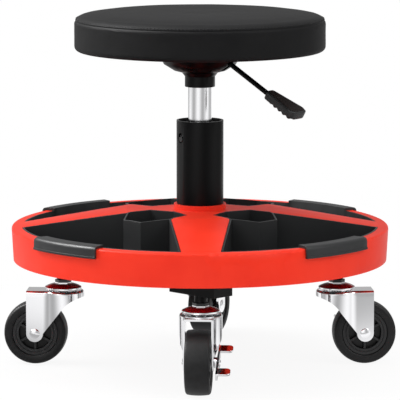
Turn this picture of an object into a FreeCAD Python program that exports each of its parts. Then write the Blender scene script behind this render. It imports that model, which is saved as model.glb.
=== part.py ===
"""Mechanic stool: padded seat on a gas lift, round tray with four bins, four swivel casters.

Millimetres, +Z up, origin on the floor under the column. -Y is the front.
"""
import FreeCAD, Part
import math
import os
import Sketcher
from types import SimpleNamespace

SIZES = [
    # Casters, from the floor up
    ("wheel_radius", 38, "tyre radius, and the height of the axles"),
    ("tyre_width", 29, "tyre across"),
    ("tyre_depth", 11, "rubber from tread to rim"),
    ("tyre_round", 7, "shoulder radius of the tyre"),
    ("hub_radius", 11, "wheel hub outside"),
    ("hub_half", 13.2, "half length of the wheel hub"),
    ("web_half", 5, "half thickness of the wheel's web"),
    ("recess_radius", 20, "outer edge of the ribbed recess in the wheel face"),
    ("face_inset", 2, "wheel face behind the tyre's side"),
    ("rib_width", 3.5, "ribs across the recess"),
    ("rib_count", 6, "ribs on each wheel face"),
    ("axle_radius", 4, "axle shank"),
    ("axle_head_radius", 6.4, "domed axle head"),
    ("axle_head_height", 1.8, "domed axle head"),
    ("running_gap", 0.06, "radial room of a shaft in its bore"),
    ("free_gap", 0.3, "room between pieces that only pass each other"),
    ("seat_gap", 0.1, "room between round pieces that are fixed together"),
    ("trail", 33, "axle behind the swivel axis"),
    ("fork_height", 87, "underside of the fork's top plate"),
    ("fork_sheet", 2.5, "steel sheet of the fork"),
    ("fork_half", 25, "half width of the fork head, and its front radius"),
    ("fork_skirt", 5, "turned-down edge under the fork head"),
    ("fork_leg_half", 17.6, "fork legs' outer faces from the middle"),
    ("flank_start", 22.7, "where the legs start to spread to the head, behind the swivel axis"),
    ("flank_round", 13.5, "that spread's hollow curve"),
    ("flank_turn", 53.9, "where it meets the round head, degrees from the trail"),
    ("sweep_round", 36, "hollow curve of the fork's front lower edge"),
    ("leg_end_radius", 10, "rounded lower end of a fork leg"),
    ("leg_front_height", 65, "where the fork leg's front edge turns up"),
    ("leg_front_reach", 2, "that turn, forward of the swivel axis is negative"),
    ("race_gap", 1.5, "fork head to race cap"),
    ("race_radius", 22, "race cap"),
    ("race_height", 6, "race cap"),
    ("race_edge", 2, "race cap's upright edge"),
    ("race_flat", 11, "flat top of the race cap, radius"),
    ("race_dome", 30, "curve of the race cap"),
    ("race_wall", 4.6, "race cap over the balls"),
    ("ball_radius", 1.3, "swivel balls"),
    ("ball_circle", 15, "circle of the swivel balls"),
    ("stem_radius", 6, "caster stem"),
    ("stem_foot_radius", 10, "riveted lower end of the stem"),
    ("stem_foot_height", 3, "riveted lower end of the stem"),
    ("hex_across", 17, "hexagons of stems and nuts, across flats"),
    ("hex_height", 5, "stem hexagon"),
    ("sleeve_radius", 7.5, "stem sleeve"),
    ("sleeve_height", 10, "stem sleeve"),
    ("caster_circle", 164, "swivel axes from the column axis"),
    ("swivel_front", 265.5, "rest direction of the front wheel's trail, degrees"),
    ("swivel_right", 4, "the same, right"),
    ("swivel_rear", 68, "the same, rear"),
    ("swivel_left", 176, "the same, left"),
    ("rocker_reach", 35, "brake rocker from the axle to each end"),
    ("rocker_sheet", 2.5, "brake rocker steel"),
    ("rocker_depth", 13, "brake rocker plate at the axle"),
    ("rocker_neck", 8, "brake rocker plate at its ends"),
    ("tab_width", 15, "pedal tabs along the rocker"),
    ("tab_length", 17, "pedal tabs outwards"),
    ("tab_round", 5, "pedal tabs' outer corners"),
    ("rocker_stand", 3.6, "brake rocker outside the fork leg"),
    ("rocker_tilt", 18, "rest tilt of the rocker, degrees"),
    # Legs and tray
    ("pad_length", 72, "caster pad"),
    ("pad_width", 31, "caster pad"),
    ("pad_height", 14, "caster pad"),
    ("leg_height", 18, "steel leg"),
    ("leg_width", 20, "steel leg"),
    ("leg_wall", 2, "steel leg"),
    ("leg_reach", 190, "leg's outer end from the axis"),
    ("nut_height", 7, "stem nut"),
    ("stem_spare", 3, "stem above its nut"),
    ("tray_lift", 2, "tray's lower edge above the leg's lower face"),
    ("tray_radius", 225, "tray outside"),
    ("rim_width", 12, "rim across"),
    ("rim_height", 40, "rim"),
    ("rim_round", 3, "rim's outer top edge"),
    ("rim_draft", 2, "rim's outside narrower at its foot"),
    ("tray_wall", 3, "moulded wall of the tray"),
    ("hub_rise", 20, "hub deck above the rim"),
    ("deck_radius", 88, "flat hub deck"),
    ("collar_rise", 6, "collar round the column"),
    ("ledge_width", 5, "ledge that carries the bins"),
    ("bay_inner", 29.7, "bay's corner next to the column, along x and y"),
    ("waist_out", 59, "bay's side corner, outwards"),
    ("waist_half", 14.5, "spoke's half width there"),
    ("crease_out", 87, "bay's neck, outwards"),
    ("crease_half", 34, "spoke's half width there"),
    ("spoke_half", 21, "spoke's half width at the rim"),
    ("cup_out", 91, "cup's outer corner, outwards"),
    ("cup_side", 70, "cup's outer corner, sideways"),
    ("boss_radius", 6, "tray's screw bosses"),
    ("boss_circle", 122, "screws from the axis"),
    ("screw_radius", 2.1, "tray screws"),
    ("screw_head_radius", 4.5, "tray screws"),
    ("screw_head_height", 3, "tray screws"),
    ("screw_length", 32, "tray screws, above the leg's lower face"),
    ("bin_gap", 0.5, "bin to tray"),
    ("bin_wall", 2, "bin"),
    ("handle_sweep", 26, "bin handle round the rim, degrees"),
    ("handle_wall", 3, "bin handle"),
    ("handle_drop", 11, "bin handle below the rim's top"),
    ("handle_round", 5, "bin handle's outer top edge"),
    ("handle_bead", 0.8, "bead along the handle's foot, proud of it"),
    ("bead_height", 2.4, "bead along the handle's foot"),
    # Column and gas lift
    ("column_radius", 28, "column tube"),
    ("column_wall", 2.5, "column tube"),
    ("column_show", 106, "column tube above the hub deck"),
    ("bush_length", 57, "column bush"),
    ("bush_inset", 3, "column bush below the tube's top"),
    ("window_radius", 5, "snap window, half its width"),
    ("window_stretch", 2, "snap window, its straight sides"),
    ("window_drop", 20, "snap window's centre below the tube's top"),
    ("window_turn", 214, "snap window's direction, degrees"),
    ("stud_radius", 3.4, "snap stud"),
    ("stud_proud", 2.4, "snap stud on the bush"),
    ("plate_height", 5, "column base plate"),
    ("plate_raise", 3, "base plate above the tube's lower end"),
    ("rod_radius", 5, "piston rod"),
    ("rod_tail", 5, "rod below the base plate"),
    ("clip_radius", 9, "rod clip"),
    ("clip_height", 1.5, "rod clip"),
    ("washer_radius", 13, "thrust bearing"),
    ("washer_height", 2, "thrust bearing races"),
    ("thrust_ball", 1.5, "thrust balls, radius"),
    ("cylinder_radius", 14, "gas cylinder"),
    ("cylinder_wall", 2, "gas cylinder"),
    ("cylinder_length", 194, "gas cylinder"),
    ("cylinder_depth", 126, "gas cylinder below the column's top"),
    ("guide_height", 16, "rod guide in the cylinder's lower end"),
    ("piston_height", 12, "piston"),
    ("piston_drop", 14, "piston's top below the column's top"),
    ("valve_height", 20, "solid upper end of the cylinder"),
    ("pin_radius", 4, "release pin"),
    ("pin_proud", 4.5, "release pin above the cylinder"),
    ("pin_sunk", 12, "release pin in the cylinder"),
    # Seat
    ("chrome_show", 40, "column top to the socket"),
    ("socket_radius", 18, "taper socket"),
    ("socket_height", 26, "taper socket"),
    ("neck_rise", 12.5, "socket below the dish"),
    ("dish_sheet", 2, "dish steel"),
    ("dish_curl", 21.6, "dish, end of the neck's curl"),
    ("dish_curl_rise", 17, "that height above the socket's lower end"),
    ("dish_floor", 31, "dish, end of its floor"),
    ("dish_floor_rise", 19.5, "that height"),
    ("dish_side", 43, "dish, end of its slope"),
    ("dish_side_rise", 27, "that height"),
    ("dish_mouth", 50, "dish, upper edge"),
    ("flange_radius", 62, "dish flange"),
    ("flange_sheet", 3, "dish flange"),
    ("seat_rise", 43, "seat's underside above the socket's lower end"),
    ("bolt_circle", 56, "housing bolts"),
    ("bolt_radius", 3, "housing bolts"),
    ("bolt_head_radius", 5, "housing bolts"),
    ("bolt_head_height", 4, "housing bolts"),
    ("bolt_length", 14, "housing bolts above the flange"),
    ("barrel_radius", 4.5, "tee nut barrel"),
    ("tee_radius", 9, "tee nut flange"),
    ("tee_height", 1.5, "tee nut flange"),
    ("seat_radius", 150.6, "seat"),
    ("seat_height", 42, "seat's side"),
    ("seat_crown", 5, "crown of the top"),
    ("seat_round", 6, "seat's lower edge"),
    ("seat_bulge", 1.5, "side's swell between its seams"),
    ("top_round", 9, "top panel's shoulder"),
    ("cover_thick", 1.5, "vinyl cover"),
    ("seam_drop", 6, "seam below the top edge"),
    ("liner_height", 1.5, "cloth liner under the seat"),
    ("board_height", 12, "plywood seat board"),
    ("board_margin", 5, "foam round the board"),
    # Release lever
    ("lever_turn", -35, "lever's direction, degrees"),
    ("pivot_out", 26, "lever pivot from the axis"),
    ("pivot_rise", 32.5, "lever pivot above the socket's lower end"),
    ("pivot_radius", 2, "lever pivot pin"),
    ("lever_hub", 4.5, "lever's pivot boss, radius"),
    ("lever_hub_half", 5, "lever's pivot boss, half length"),
    ("tongue_past", 5, "tongue beyond the axis"),
    ("tongue_half", 4, "tongue, half width"),
    ("tongue_thick", 2, "tongue"),
    ("ear_sheet", 2, "pivot ears"),
    ("ear_half", 5, "pivot ears, half width"),
    ("lever_radius", 3, "lever rod"),
    ("lever_level", 12, "level start of the lever rod"),
    ("lever_end_out", 104, "lever rod's end from the axis"),
    ("lever_drop", 39.5, "lever rod's end below its pivot"),
    ("paddle_out", 97, "paddle's inner end from the axis"),
    ("paddle_below", 35.2, "paddle's inner end below the pivot"),
    ("paddle_length", 50, "paddle"),
    ("paddle_slope", 27.6, "paddle below level, degrees"),
    ("paddle_half", 15.5, "paddle, half width"),
    ("paddle_neck", 7, "paddle, half width at the rod"),
    ("paddle_thick", 11, "paddle"),
    ("finger_depth", 2, "finger hollows under the paddle"),
]

doc = FreeCAD.newDocument("MechanicStool")
sheet = doc.addObject("Spreadsheet::Sheet", "Sizes")


class Size:
    """A length or angle: its expression on the sheet, together with its present number."""

    def __init__(self, text, number):
        self.text = text
        self.number = number

    def __add__(self, other):
        other = as_size(other)
        return Size(f"({self.text} + {other.text})", self.number + other.number)

    def __sub__(self, other):
        other = as_size(other)
        return Size(f"({self.text} - {other.text})", self.number - other.number)

    def __mul__(self, other):
        other = as_size(other)
        return Size(f"({self.text} * {other.text})", self.number * other.number)

    def __truediv__(self, other):
        other = as_size(other)
        return Size(f"({self.text} / {other.text})", self.number / other.number)

    def __neg__(self):
        return Size(f"(0 - {self.text})", -self.number)


def as_size(item):
    """A plain number as a size."""
    if isinstance(item, Size):
        return item
    return Size(f"({float(item)!r})", float(item))


def sine(angle):
    angle = as_size(angle)
    return Size(f"sin({angle.text})", math.sin(math.radians(angle.number)))


def cosine(angle):
    angle = as_size(angle)
    return Size(f"cos({angle.text})", math.cos(math.radians(angle.number)))


def tangent(angle):
    angle = as_size(angle)
    return Size(f"tan({angle.text})", math.tan(math.radians(angle.number)))


def fill_sheet():
    """Write every size to the sheet, and give each back as a Size by its alias."""
    named = {}
    for row, (alias, number, note) in enumerate(SIZES, start=1):
        sheet.set(f"A{row}", note)
        sheet.set(f"B{row}", str(number))
        sheet.setAlias(f"B{row}", alias)
        named[alias] = Size(f"Sizes.{alias}", float(number))
    doc.recompute()
    return SimpleNamespace(**named)


dim = fill_sheet()
nodes = []
QUARTERS = (0, 90, 180, 270)
SPOTS = (("front", 270, dim.swivel_front), ("right", 0, dim.swivel_right),
         ("rear", 90, dim.swivel_rear), ("left", 180, dim.swivel_left))
BRAKED = ("front", "right")


def bind(item, prop, size):
    """Tie one property to the sheet."""
    item.setExpression(prop, as_size(size).text)


def place(item, x=0, y=0, z=0, turn=0):
    """Tie a piece's place, and its turn about Z, to the sheet."""
    bind(item, "Placement.Base.x", x)
    bind(item, "Placement.Base.y", y)
    bind(item, "Placement.Base.z", z)
    bind(item, "Placement.Rotation.Angle", turn)
    return item


def node(item, label):
    """Mark a finished sub-part: its label names its file."""
    item.Label = label
    nodes.append(item)
    return item


def arc_between(start, end, radius):
    """The shorter arc from start to end; a negative radius bends to the other side."""
    chord = end - start
    half = chord.Length / 2
    rise = abs(radius) - math.sqrt(max(radius * radius - half * half, 0))
    side = FreeCAD.Vector(chord.y, -chord.x, 0).normalize()
    middle = (start + end) * 0.5 + side * math.copysign(rise, radius)
    return Part.Arc(start, middle, end)


def draw(sketch, points):
    """Closed outline with every corner on the sheet; a span entry starts an arc of that radius."""
    corners = [FreeCAD.Vector(as_size(p[0]).number, as_size(p[1]).number, 0) for p in points]
    first = []
    last = []
    for index, start in enumerate(corners):
        end = corners[(index + 1) % len(corners)]
        if len(points[index]) > 2:
            radius = as_size(points[index][2])
            sketch.addGeometry(arc_between(start, end, radius.number), False)
            slot = sketch.addConstraint(Sketcher.Constraint("Radius", index, abs(radius.number)))
            bind(sketch, f"Constraints[{slot}]", radius if radius.number > 0 else -radius)
        else:
            sketch.addGeometry(Part.LineSegment(start, end), False)
        reach = [sketch.getPoint(index, place_id).distanceToPoint(start) for place_id in (1, 2)]
        flipped = reach[0] > reach[1]
        first.append(2 if flipped else 1)
        last.append(1 if flipped else 2)
    for index, corner in enumerate(corners):
        follower = (index + 1) % len(corners)
        meet = Sketcher.Constraint("Coincident", index, last[index], follower, first[follower])
        sketch.addConstraint(meet)
        for kind, size in (("DistanceX", points[index][0]), ("DistanceY", points[index][1])):
            size = as_size(size)
            slot = sketch.addConstraint(Sketcher.Constraint(kind, -1, 1, index, first[index], size.number))
            bind(sketch, f"Constraints[{slot}]", size)
    return sketch


def body_sketch(body, plane):
    """An empty sketch on one of the body's own origin planes."""
    sketch = body.newObject("Sketcher::SketchObject", body.Name + "_sketch")
    support = next(item for item in body.Origin.OriginFeatures if item.Role == plane)
    sketch.AttachmentSupport = [(support, "")]
    sketch.MapMode = "FlatFace"
    return sketch


def turned(name, outline, sweep=None, plane="XZ_Plane", axis="V_Axis"):
    """An outline of (radius, height) turned about Z, or of (across, radius) about Y."""
    body = doc.addObject("PartDesign::Body", name)
    sketch = draw(body_sketch(body, plane), outline)
    turn = body.newObject("PartDesign::Revolution", name + "_turn")
    turn.Profile = sketch
    turn.ReferenceAxis = (sketch, [axis])
    turn.Angle = 360
    if sweep is not None:
        turn.Midplane = True
        bind(turn, "Angle", sweep)
    return body


def wheel_turned(name, outline):
    """An outline of (across, radius) turned about the Y axis, as wheels and axles are."""
    return turned(name, outline, plane="YZ_Plane", axis="H_Axis")


def slab(name, plane, outline, thick, centred=False):
    """An outline drawn on an origin plane and given a thickness."""
    body = doc.addObject("PartDesign::Body", name)
    sketch = draw(body_sketch(body, plane), outline)
    pad = body.newObject("PartDesign::Pad", name + "_pad")
    pad.Profile = sketch
    pad.SideType = "Symmetric" if centred else "One side"
    bind(pad, "Length", thick)
    return body


def drum(name, radius, height, x=0, y=0, z=0):
    """An upright cylinder."""
    item = doc.addObject("Part::Cylinder", name)
    bind(item, "Radius", radius)
    bind(item, "Height", height)
    return place(item, x, y, z)


def block(name, length, width, height, x=0, y=0, z=0):
    """A box from its lowest corner."""
    item = doc.addObject("Part::Box", name)
    bind(item, "Length", length)
    bind(item, "Width", width)
    bind(item, "Height", height)
    return place(item, x, y, z)


def join(name, *items):
    fused = doc.addObject("Part::MultiFuse", name)
    fused.Shapes = list(items)
    return fused


def shared(name, *items):
    common = doc.addObject("Part::MultiCommon", name)
    common.Shapes = list(items)
    return common


def carve(name, base, *tools):
    cut = doc.addObject("Part::Cut", name)
    cut.Base = base
    cut.Tool = tools[0] if len(tools) == 1 else join(name + "_tools", *tools)
    return cut


def gather(label, items):
    """Identical separate solids that share one node."""
    together = doc.addObject("Part::Compound", label)
    together.Links = list(items)
    return node(together, label)


def ring(name, inner, outer, low, high):
    """A plain ring about Z."""
    return turned(name, [(inner, low), (outer, low), (outer, high), (inner, high)])


def hexagon(name, across, bore, height):
    """A hexagon prism with a round bore, on the origin."""
    corner = across / math.sqrt(3)
    points = [(corner * math.cos(math.radians(turn)), corner * math.sin(math.radians(turn)))
              for turn in range(0, 360, 60)]
    prism = slab(name + "_prism", "XY_Plane", points, height)
    return carve(name, prism, drum(name + "_bore", bore, height * 3, z=-height))


# Heights above the floor, each from the piece below it
fork_top = dim.fork_height + dim.fork_sheet
race_low = fork_top + dim.race_gap
race_top = race_low + dim.race_height
sleeve_low = race_top + dim.hex_height
pad_low = sleeve_low + dim.sleeve_height
leg_low = pad_low + dim.pad_height
leg_top = leg_low + dim.leg_height
tray_low = leg_low + dim.tray_lift
rim_top = tray_low + dim.rim_height
deck_top = rim_top + dim.hub_rise
column_low = pad_low
column_top = deck_top + dim.column_show
cylinder_low = column_top - dim.cylinder_depth
cylinder_top = cylinder_low + dim.cylinder_length
socket_low = column_top + dim.chrome_show
socket_top = socket_low + dim.socket_height
seat_low = socket_low + dim.seat_rise
rim_inner = dim.tray_radius - dim.rim_width


def at_spot(item, azimuth, radius, z=0, turn=0):
    """Set a piece on a circle about the column, turned on its own axis."""
    swing = math.radians(azimuth)
    return place(item, radius * math.cos(swing), radius * math.sin(swing), z, turn)


# Tray: moulded disc with a rim, four spokes and a raised hub, open below
def bay_points():
    """One quarter's bay: cup corner, waist, neck, then out past the rim."""
    return [(dim.bay_inner, dim.bay_inner), (dim.waist_out, dim.waist_half),
            (dim.crease_out, dim.crease_half), (dim.tray_radius, dim.spoke_half),
            (dim.tray_radius, dim.tray_radius), (dim.spoke_half, dim.tray_radius),
            (dim.crease_half, dim.crease_out), (dim.waist_half, dim.waist_out)]


def cup_points():
    """The seven-sided cup at the bay's inner end."""
    return [(dim.bay_inner, dim.bay_inner), (dim.waist_out, dim.waist_half),
            (dim.crease_out, dim.crease_half), (dim.cup_out, dim.cup_side), (dim.cup_side, dim.cup_out),
            (dim.crease_half, dim.crease_out), (dim.waist_half, dim.waist_out)]


def prism(name, points, inset, low, height, turn):
    """An upright prism of an outline drawn in by an inset, turned to its quarter."""
    sketch = draw(doc.addObject("Sketcher::SketchObject", name + "_outline"), points)
    edge = doc.addObject("Part::Offset2D", name + "_inset")
    edge.Source = sketch
    edge.Join = "Intersection"
    bind(edge, "Value", -as_size(inset))
    solid = doc.addObject("Part::Extrusion", name)
    solid.Base = edge
    solid.DirMode = "Custom"
    solid.Dir = FreeCAD.Vector(0, 0, 1)
    solid.Solid = True
    bind(solid, "LengthFwd", height)
    return place(solid, z=low, turn=turn)


def bay(name, inset, low, height, turn):
    """A bay prism that ends at the rim's inner face."""
    wedge = prism(name + "_wedge", bay_points(), inset, low, height, turn)
    limit = drum(name + "_limit", rim_inner - inset, height, z=low)
    return shared(name, wedge, limit)


def tray_frame():
    bore = dim.column_radius + dim.seat_gap
    hub = bore + dim.tray_wall
    tall = deck_top - tray_low + dim.collar_rise
    ledge_top = tray_low + dim.tray_wall
    below = tray_low - dim.tray_wall
    blank = turned("tray_blank", [
        (bore, tray_low), (dim.tray_radius - dim.rim_draft, tray_low),
        (dim.tray_radius, rim_top - dim.rim_round, dim.rim_round),
        (dim.tray_radius - dim.rim_round, rim_top), (rim_inner, rim_top), (dim.deck_radius, deck_top),
        (hub, deck_top), (hub, deck_top + dim.collar_rise), (bore, deck_top + dim.collar_rise)])
    core = turned("tray_core", [
        (hub, below), (dim.tray_radius - dim.tray_wall - dim.rim_draft, below),
        (dim.tray_radius - dim.tray_wall, rim_top - dim.tray_wall), (rim_inner, rim_top - dim.tray_wall),
        (dim.deck_radius, deck_top - dim.tray_wall), (hub, deck_top - dim.tray_wall)])
    walls = [bay(f"bay_wall_{turn}", -dim.tray_wall, below, tall + dim.tray_wall, turn) for turn in QUARTERS]
    hollow = carve("tray_hollow", core, *walls)
    bays = [bay(f"bay_{turn}", 0, ledge_top, tall, turn) for turn in QUARTERS]
    floors = [bay(f"bay_floor_{turn}", dim.ledge_width, below, tall, turn) for turn in QUARTERS]
    room_half = dim.leg_width / 2 + dim.seat_gap
    leg_rooms = []
    for turn in QUARTERS:
        swing = math.radians(turn + 90)
        room = block(f"leg_room_{turn}", dim.leg_reach, room_half * 2, leg_top - below)
        place(room, -room_half * math.cos(swing), -room_half * math.sin(swing), below, turn)
        leg_rooms.append(room)
    shell = carve("tray_shell", blank, hollow, *bays, *floors, *leg_rooms)
    slope = dim.hub_rise / (rim_inner - dim.deck_radius)
    roof = deck_top - slope * (dim.boss_circle + dim.boss_radius - dim.deck_radius) - dim.tray_wall / 2
    bosses = []
    bores = []
    for turn in QUARTERS:
        boss = drum(f"boss_{turn}", dim.boss_radius, roof - leg_top)
        bosses.append(at_spot(boss, turn, dim.boss_circle, leg_top))
        bore_deep = dim.screw_length - dim.leg_height + dim.screw_radius
        bores.append(at_spot(drum(f"boss_bore_{turn}", dim.screw_radius + dim.seat_gap, bore_deep),
                             turn, dim.boss_circle, leg_top))
    node(carve("tray_frame", join("tray_bossed", shell, *bosses), *bores), "tray_frame")


# Legs: square steel tubes that carry the tray and the casters
def legs():
    half = dim.leg_width / 2
    for name, turn, swivel in SPOTS:
        bar = block(f"leg_bar_{name}", dim.leg_reach, dim.leg_width, dim.leg_height, y=-half, z=leg_low)
        core = block(f"leg_core_{name}", dim.leg_reach * 2, dim.leg_width - dim.leg_wall * 2,
                     dim.leg_height - dim.leg_wall * 2, y=dim.leg_wall - half, z=leg_low + dim.leg_wall)
        cope = drum(f"leg_cope_{name}", dim.column_radius + dim.seat_gap, dim.leg_height, z=leg_low)
        stem = drum(f"leg_stem_{name}", dim.stem_radius + dim.seat_gap, dim.leg_height,
                    dim.caster_circle, 0, leg_low)
        screw = drum(f"leg_screw_{name}", dim.screw_radius + dim.seat_gap, dim.leg_height,
                     dim.boss_circle, 0, leg_low)
        leg = carve(f"leg_{name}", bar, core, cope, stem, screw)
        node(place(leg, turn=turn), f"leg_{name}")


# Caster pads: moulded blocks under the legs, set square to the rim's diagonals
def caster_pads():
    pads = []
    for name, azimuth, swivel in SPOTS:
        slant = 135 if name == "left" else 45
        plate = block(f"pad_plate_{name}", dim.pad_length, dim.pad_width, dim.pad_height,
                      x=-dim.pad_length / 2, y=-dim.pad_width / 2)
        hole = drum(f"pad_hole_{name}", dim.stem_radius + dim.seat_gap, dim.pad_height)
        pad = carve(f"pad_{name}", plate, hole)
        pads.append(at_spot(pad, azimuth, dim.caster_circle, pad_low, azimuth + slant))
    gather("caster_pads", pads)


# Tray screws: pan heads under the legs, shanks in the tray's bosses
def tray_screws():
    screws = []
    for turn in QUARTERS:
        screw = turned(f"screw_{turn}", [
            (0, -dim.screw_head_height), (dim.screw_head_radius, -dim.screw_head_height),
            (dim.screw_head_radius, 0), (dim.screw_radius, 0), (dim.screw_radius, dim.screw_length),
            (0, dim.screw_length)])
        screws.append(at_spot(screw, turn, dim.boss_circle, leg_low))
    gather("tray_screws", screws)


# Bins: drop-in mouldings with a seven-sided cup and a handle hooked over the rim
def bins():
    labels = dict(zip(QUARTERS, ("bin_rear_right", "bin_rear_left", "bin_front_left", "bin_front_right")))
    floor_low = tray_low + dim.tray_wall
    floor_top = floor_low + dim.bin_wall
    tall = deck_top - floor_low
    inset = dim.bin_gap + dim.bin_wall
    outer = rim_inner - dim.bin_gap
    hook_low = rim_top - dim.handle_drop
    lip_low = rim_top + dim.free_gap
    lip_top = lip_low + dim.handle_wall
    reach = dim.tray_radius + dim.free_gap
    face_out = reach + dim.handle_wall
    bead_out = face_out + dim.handle_bead
    for turn, label in labels.items():
        block_out = bay(label + "_block", dim.bin_gap, floor_low, tall, turn)
        ceiling = turned(label + "_ceiling", [
            (0, floor_low), (outer, floor_low), (outer, rim_top), (dim.deck_radius, deck_top),
            (0, deck_top)])
        body = shared(label + "_body", block_out, ceiling)
        cup_block = prism(label + "_cup_block", cup_points(), dim.bin_gap, floor_low, tall, turn)
        main = carve(label + "_main", bay(label + "_room", inset, floor_top, tall, turn), cup_block)
        cup = prism(label + "_cup", cup_points(), inset, floor_top, tall, turn)
        handle = turned(label + "_handle", [
            (outer - dim.bin_wall, hook_low), (outer, hook_low), (outer, lip_low), (reach, lip_low),
            (reach, hook_low), (bead_out, hook_low), (bead_out, hook_low + dim.bead_height),
            (face_out, hook_low + dim.bead_height), (face_out, lip_top - dim.handle_round, dim.handle_round),
            (face_out - dim.handle_round, lip_top), (outer - dim.bin_wall, lip_top)],
            sweep=dim.handle_sweep)
        place(handle, turn=turn + 45)
        node(join(label, carve(label + "_shell", body, main, cup), handle), label)


# Column: steel tube with a snap window, a plastic bush inside its top and a plate in its foot
def column():
    inner = dim.column_radius - dim.column_wall
    bush_top = column_top - dim.bush_inset
    window_mid = column_top - dim.window_drop
    tube = ring("column_pipe", inner, dim.column_radius, column_low, column_top)
    half = dim.window_stretch / 2
    wide = dim.window_radius
    window = slab("column_window", "YZ_Plane", [
        (wide, -half), (wide, half, wide), (0, half + wide, wide),
        (-wide, half), (-wide, -half, wide), (0, -half - wide, wide)], dim.column_radius * 2)
    place(window, z=window_mid, turn=dim.window_turn)
    node(carve("column_tube", tube, window), "column_tube")
    bush_out = inner - dim.seat_gap
    bush_low = bush_top - dim.bush_length
    bush_bore = dim.cylinder_radius + dim.running_gap
    node(ring("column_bush", bush_bore, bush_out, bush_low, bush_top), "column_bush")
    stud = wheel_turned("bush_stud", [
        (0, 0), (dim.stud_proud, 0), (dim.stud_proud, dim.stud_radius), (0, dim.stud_radius)])
    stud_drop = dim.window_drop + dim.window_radius - dim.stud_radius
    out = bush_out + dim.seat_gap
    place(stud, out * cosine(dim.window_turn), out * sine(dim.window_turn), column_top - stud_drop,
          dim.window_turn - 90)
    node(stud, "bush_stud")
    plate_low = column_low + dim.plate_raise
    node(ring("column_base_plate", dim.rod_radius + dim.running_gap, inner - dim.seat_gap, plate_low,
              plate_low + dim.plate_height), "column_base_plate")


# Thrust bearing and piston rod: they carry the seat and let it turn in the column
def gas_rod():
    plate_low = column_low + dim.plate_raise
    race = plate_low + dim.plate_height
    ball_mid = race + dim.washer_height + dim.thrust_ball
    collar = ball_mid + dim.thrust_ball
    bore = dim.rod_radius + dim.running_gap
    node(ring("thrust_washer", bore, dim.washer_radius, race, race + dim.washer_height), "thrust_washer")
    circle = (dim.rod_radius + dim.washer_radius) / 2
    balls = []
    for turn in range(0, 360, 45):
        ball = doc.addObject("Part::Sphere", f"thrust_ball_{turn}")
        bind(ball, "Radius", dim.thrust_ball - dim.running_gap)
        balls.append(at_spot(ball, turn, circle, ball_mid))
    gather("thrust_balls", balls)
    fixed_bore = dim.rod_radius + dim.seat_gap
    node(ring("thrust_collar", fixed_bore, dim.washer_radius, collar, collar + dim.washer_height),
         "thrust_collar")
    piston_top = column_top - dim.piston_drop
    piston_low = piston_top - dim.piston_height
    rod_low = plate_low - dim.rod_tail
    node(drum("piston_rod", dim.rod_radius, piston_low - rod_low, z=rod_low), "piston_rod")
    inside = dim.cylinder_radius - dim.cylinder_wall - dim.free_gap
    node(drum("gas_piston", inside, dim.piston_height, z=piston_low), "gas_piston")
    clip_top = plate_low - dim.free_gap
    node(ring("rod_clip", fixed_bore, dim.clip_radius, clip_top - dim.clip_height, clip_top), "rod_clip")


# Gas cylinder: chromed tube, plugged below round the rod and above round the release pin
def gas_cylinder():
    inner = dim.cylinder_radius - dim.cylinder_wall
    bore = dim.pin_radius + dim.running_gap
    pin_low = cylinder_top - dim.pin_sunk
    valve_low = cylinder_top - dim.valve_height
    node(turned("gas_cylinder", [
        (inner, cylinder_low), (dim.cylinder_radius, cylinder_low), (dim.cylinder_radius, cylinder_top),
        (bore, cylinder_top), (bore, pin_low - dim.pin_proud), (0, pin_low - dim.pin_proud), (0, valve_low),
        (inner, valve_low)]), "gas_cylinder")
    node(ring("cylinder_guide", dim.rod_radius + dim.running_gap, inner - dim.seat_gap, cylinder_low,
              cylinder_low + dim.guide_height), "cylinder_guide")
    node(drum("release_pin", dim.pin_radius, dim.pin_sunk + dim.pin_proud, z=pin_low), "release_pin")


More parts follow.
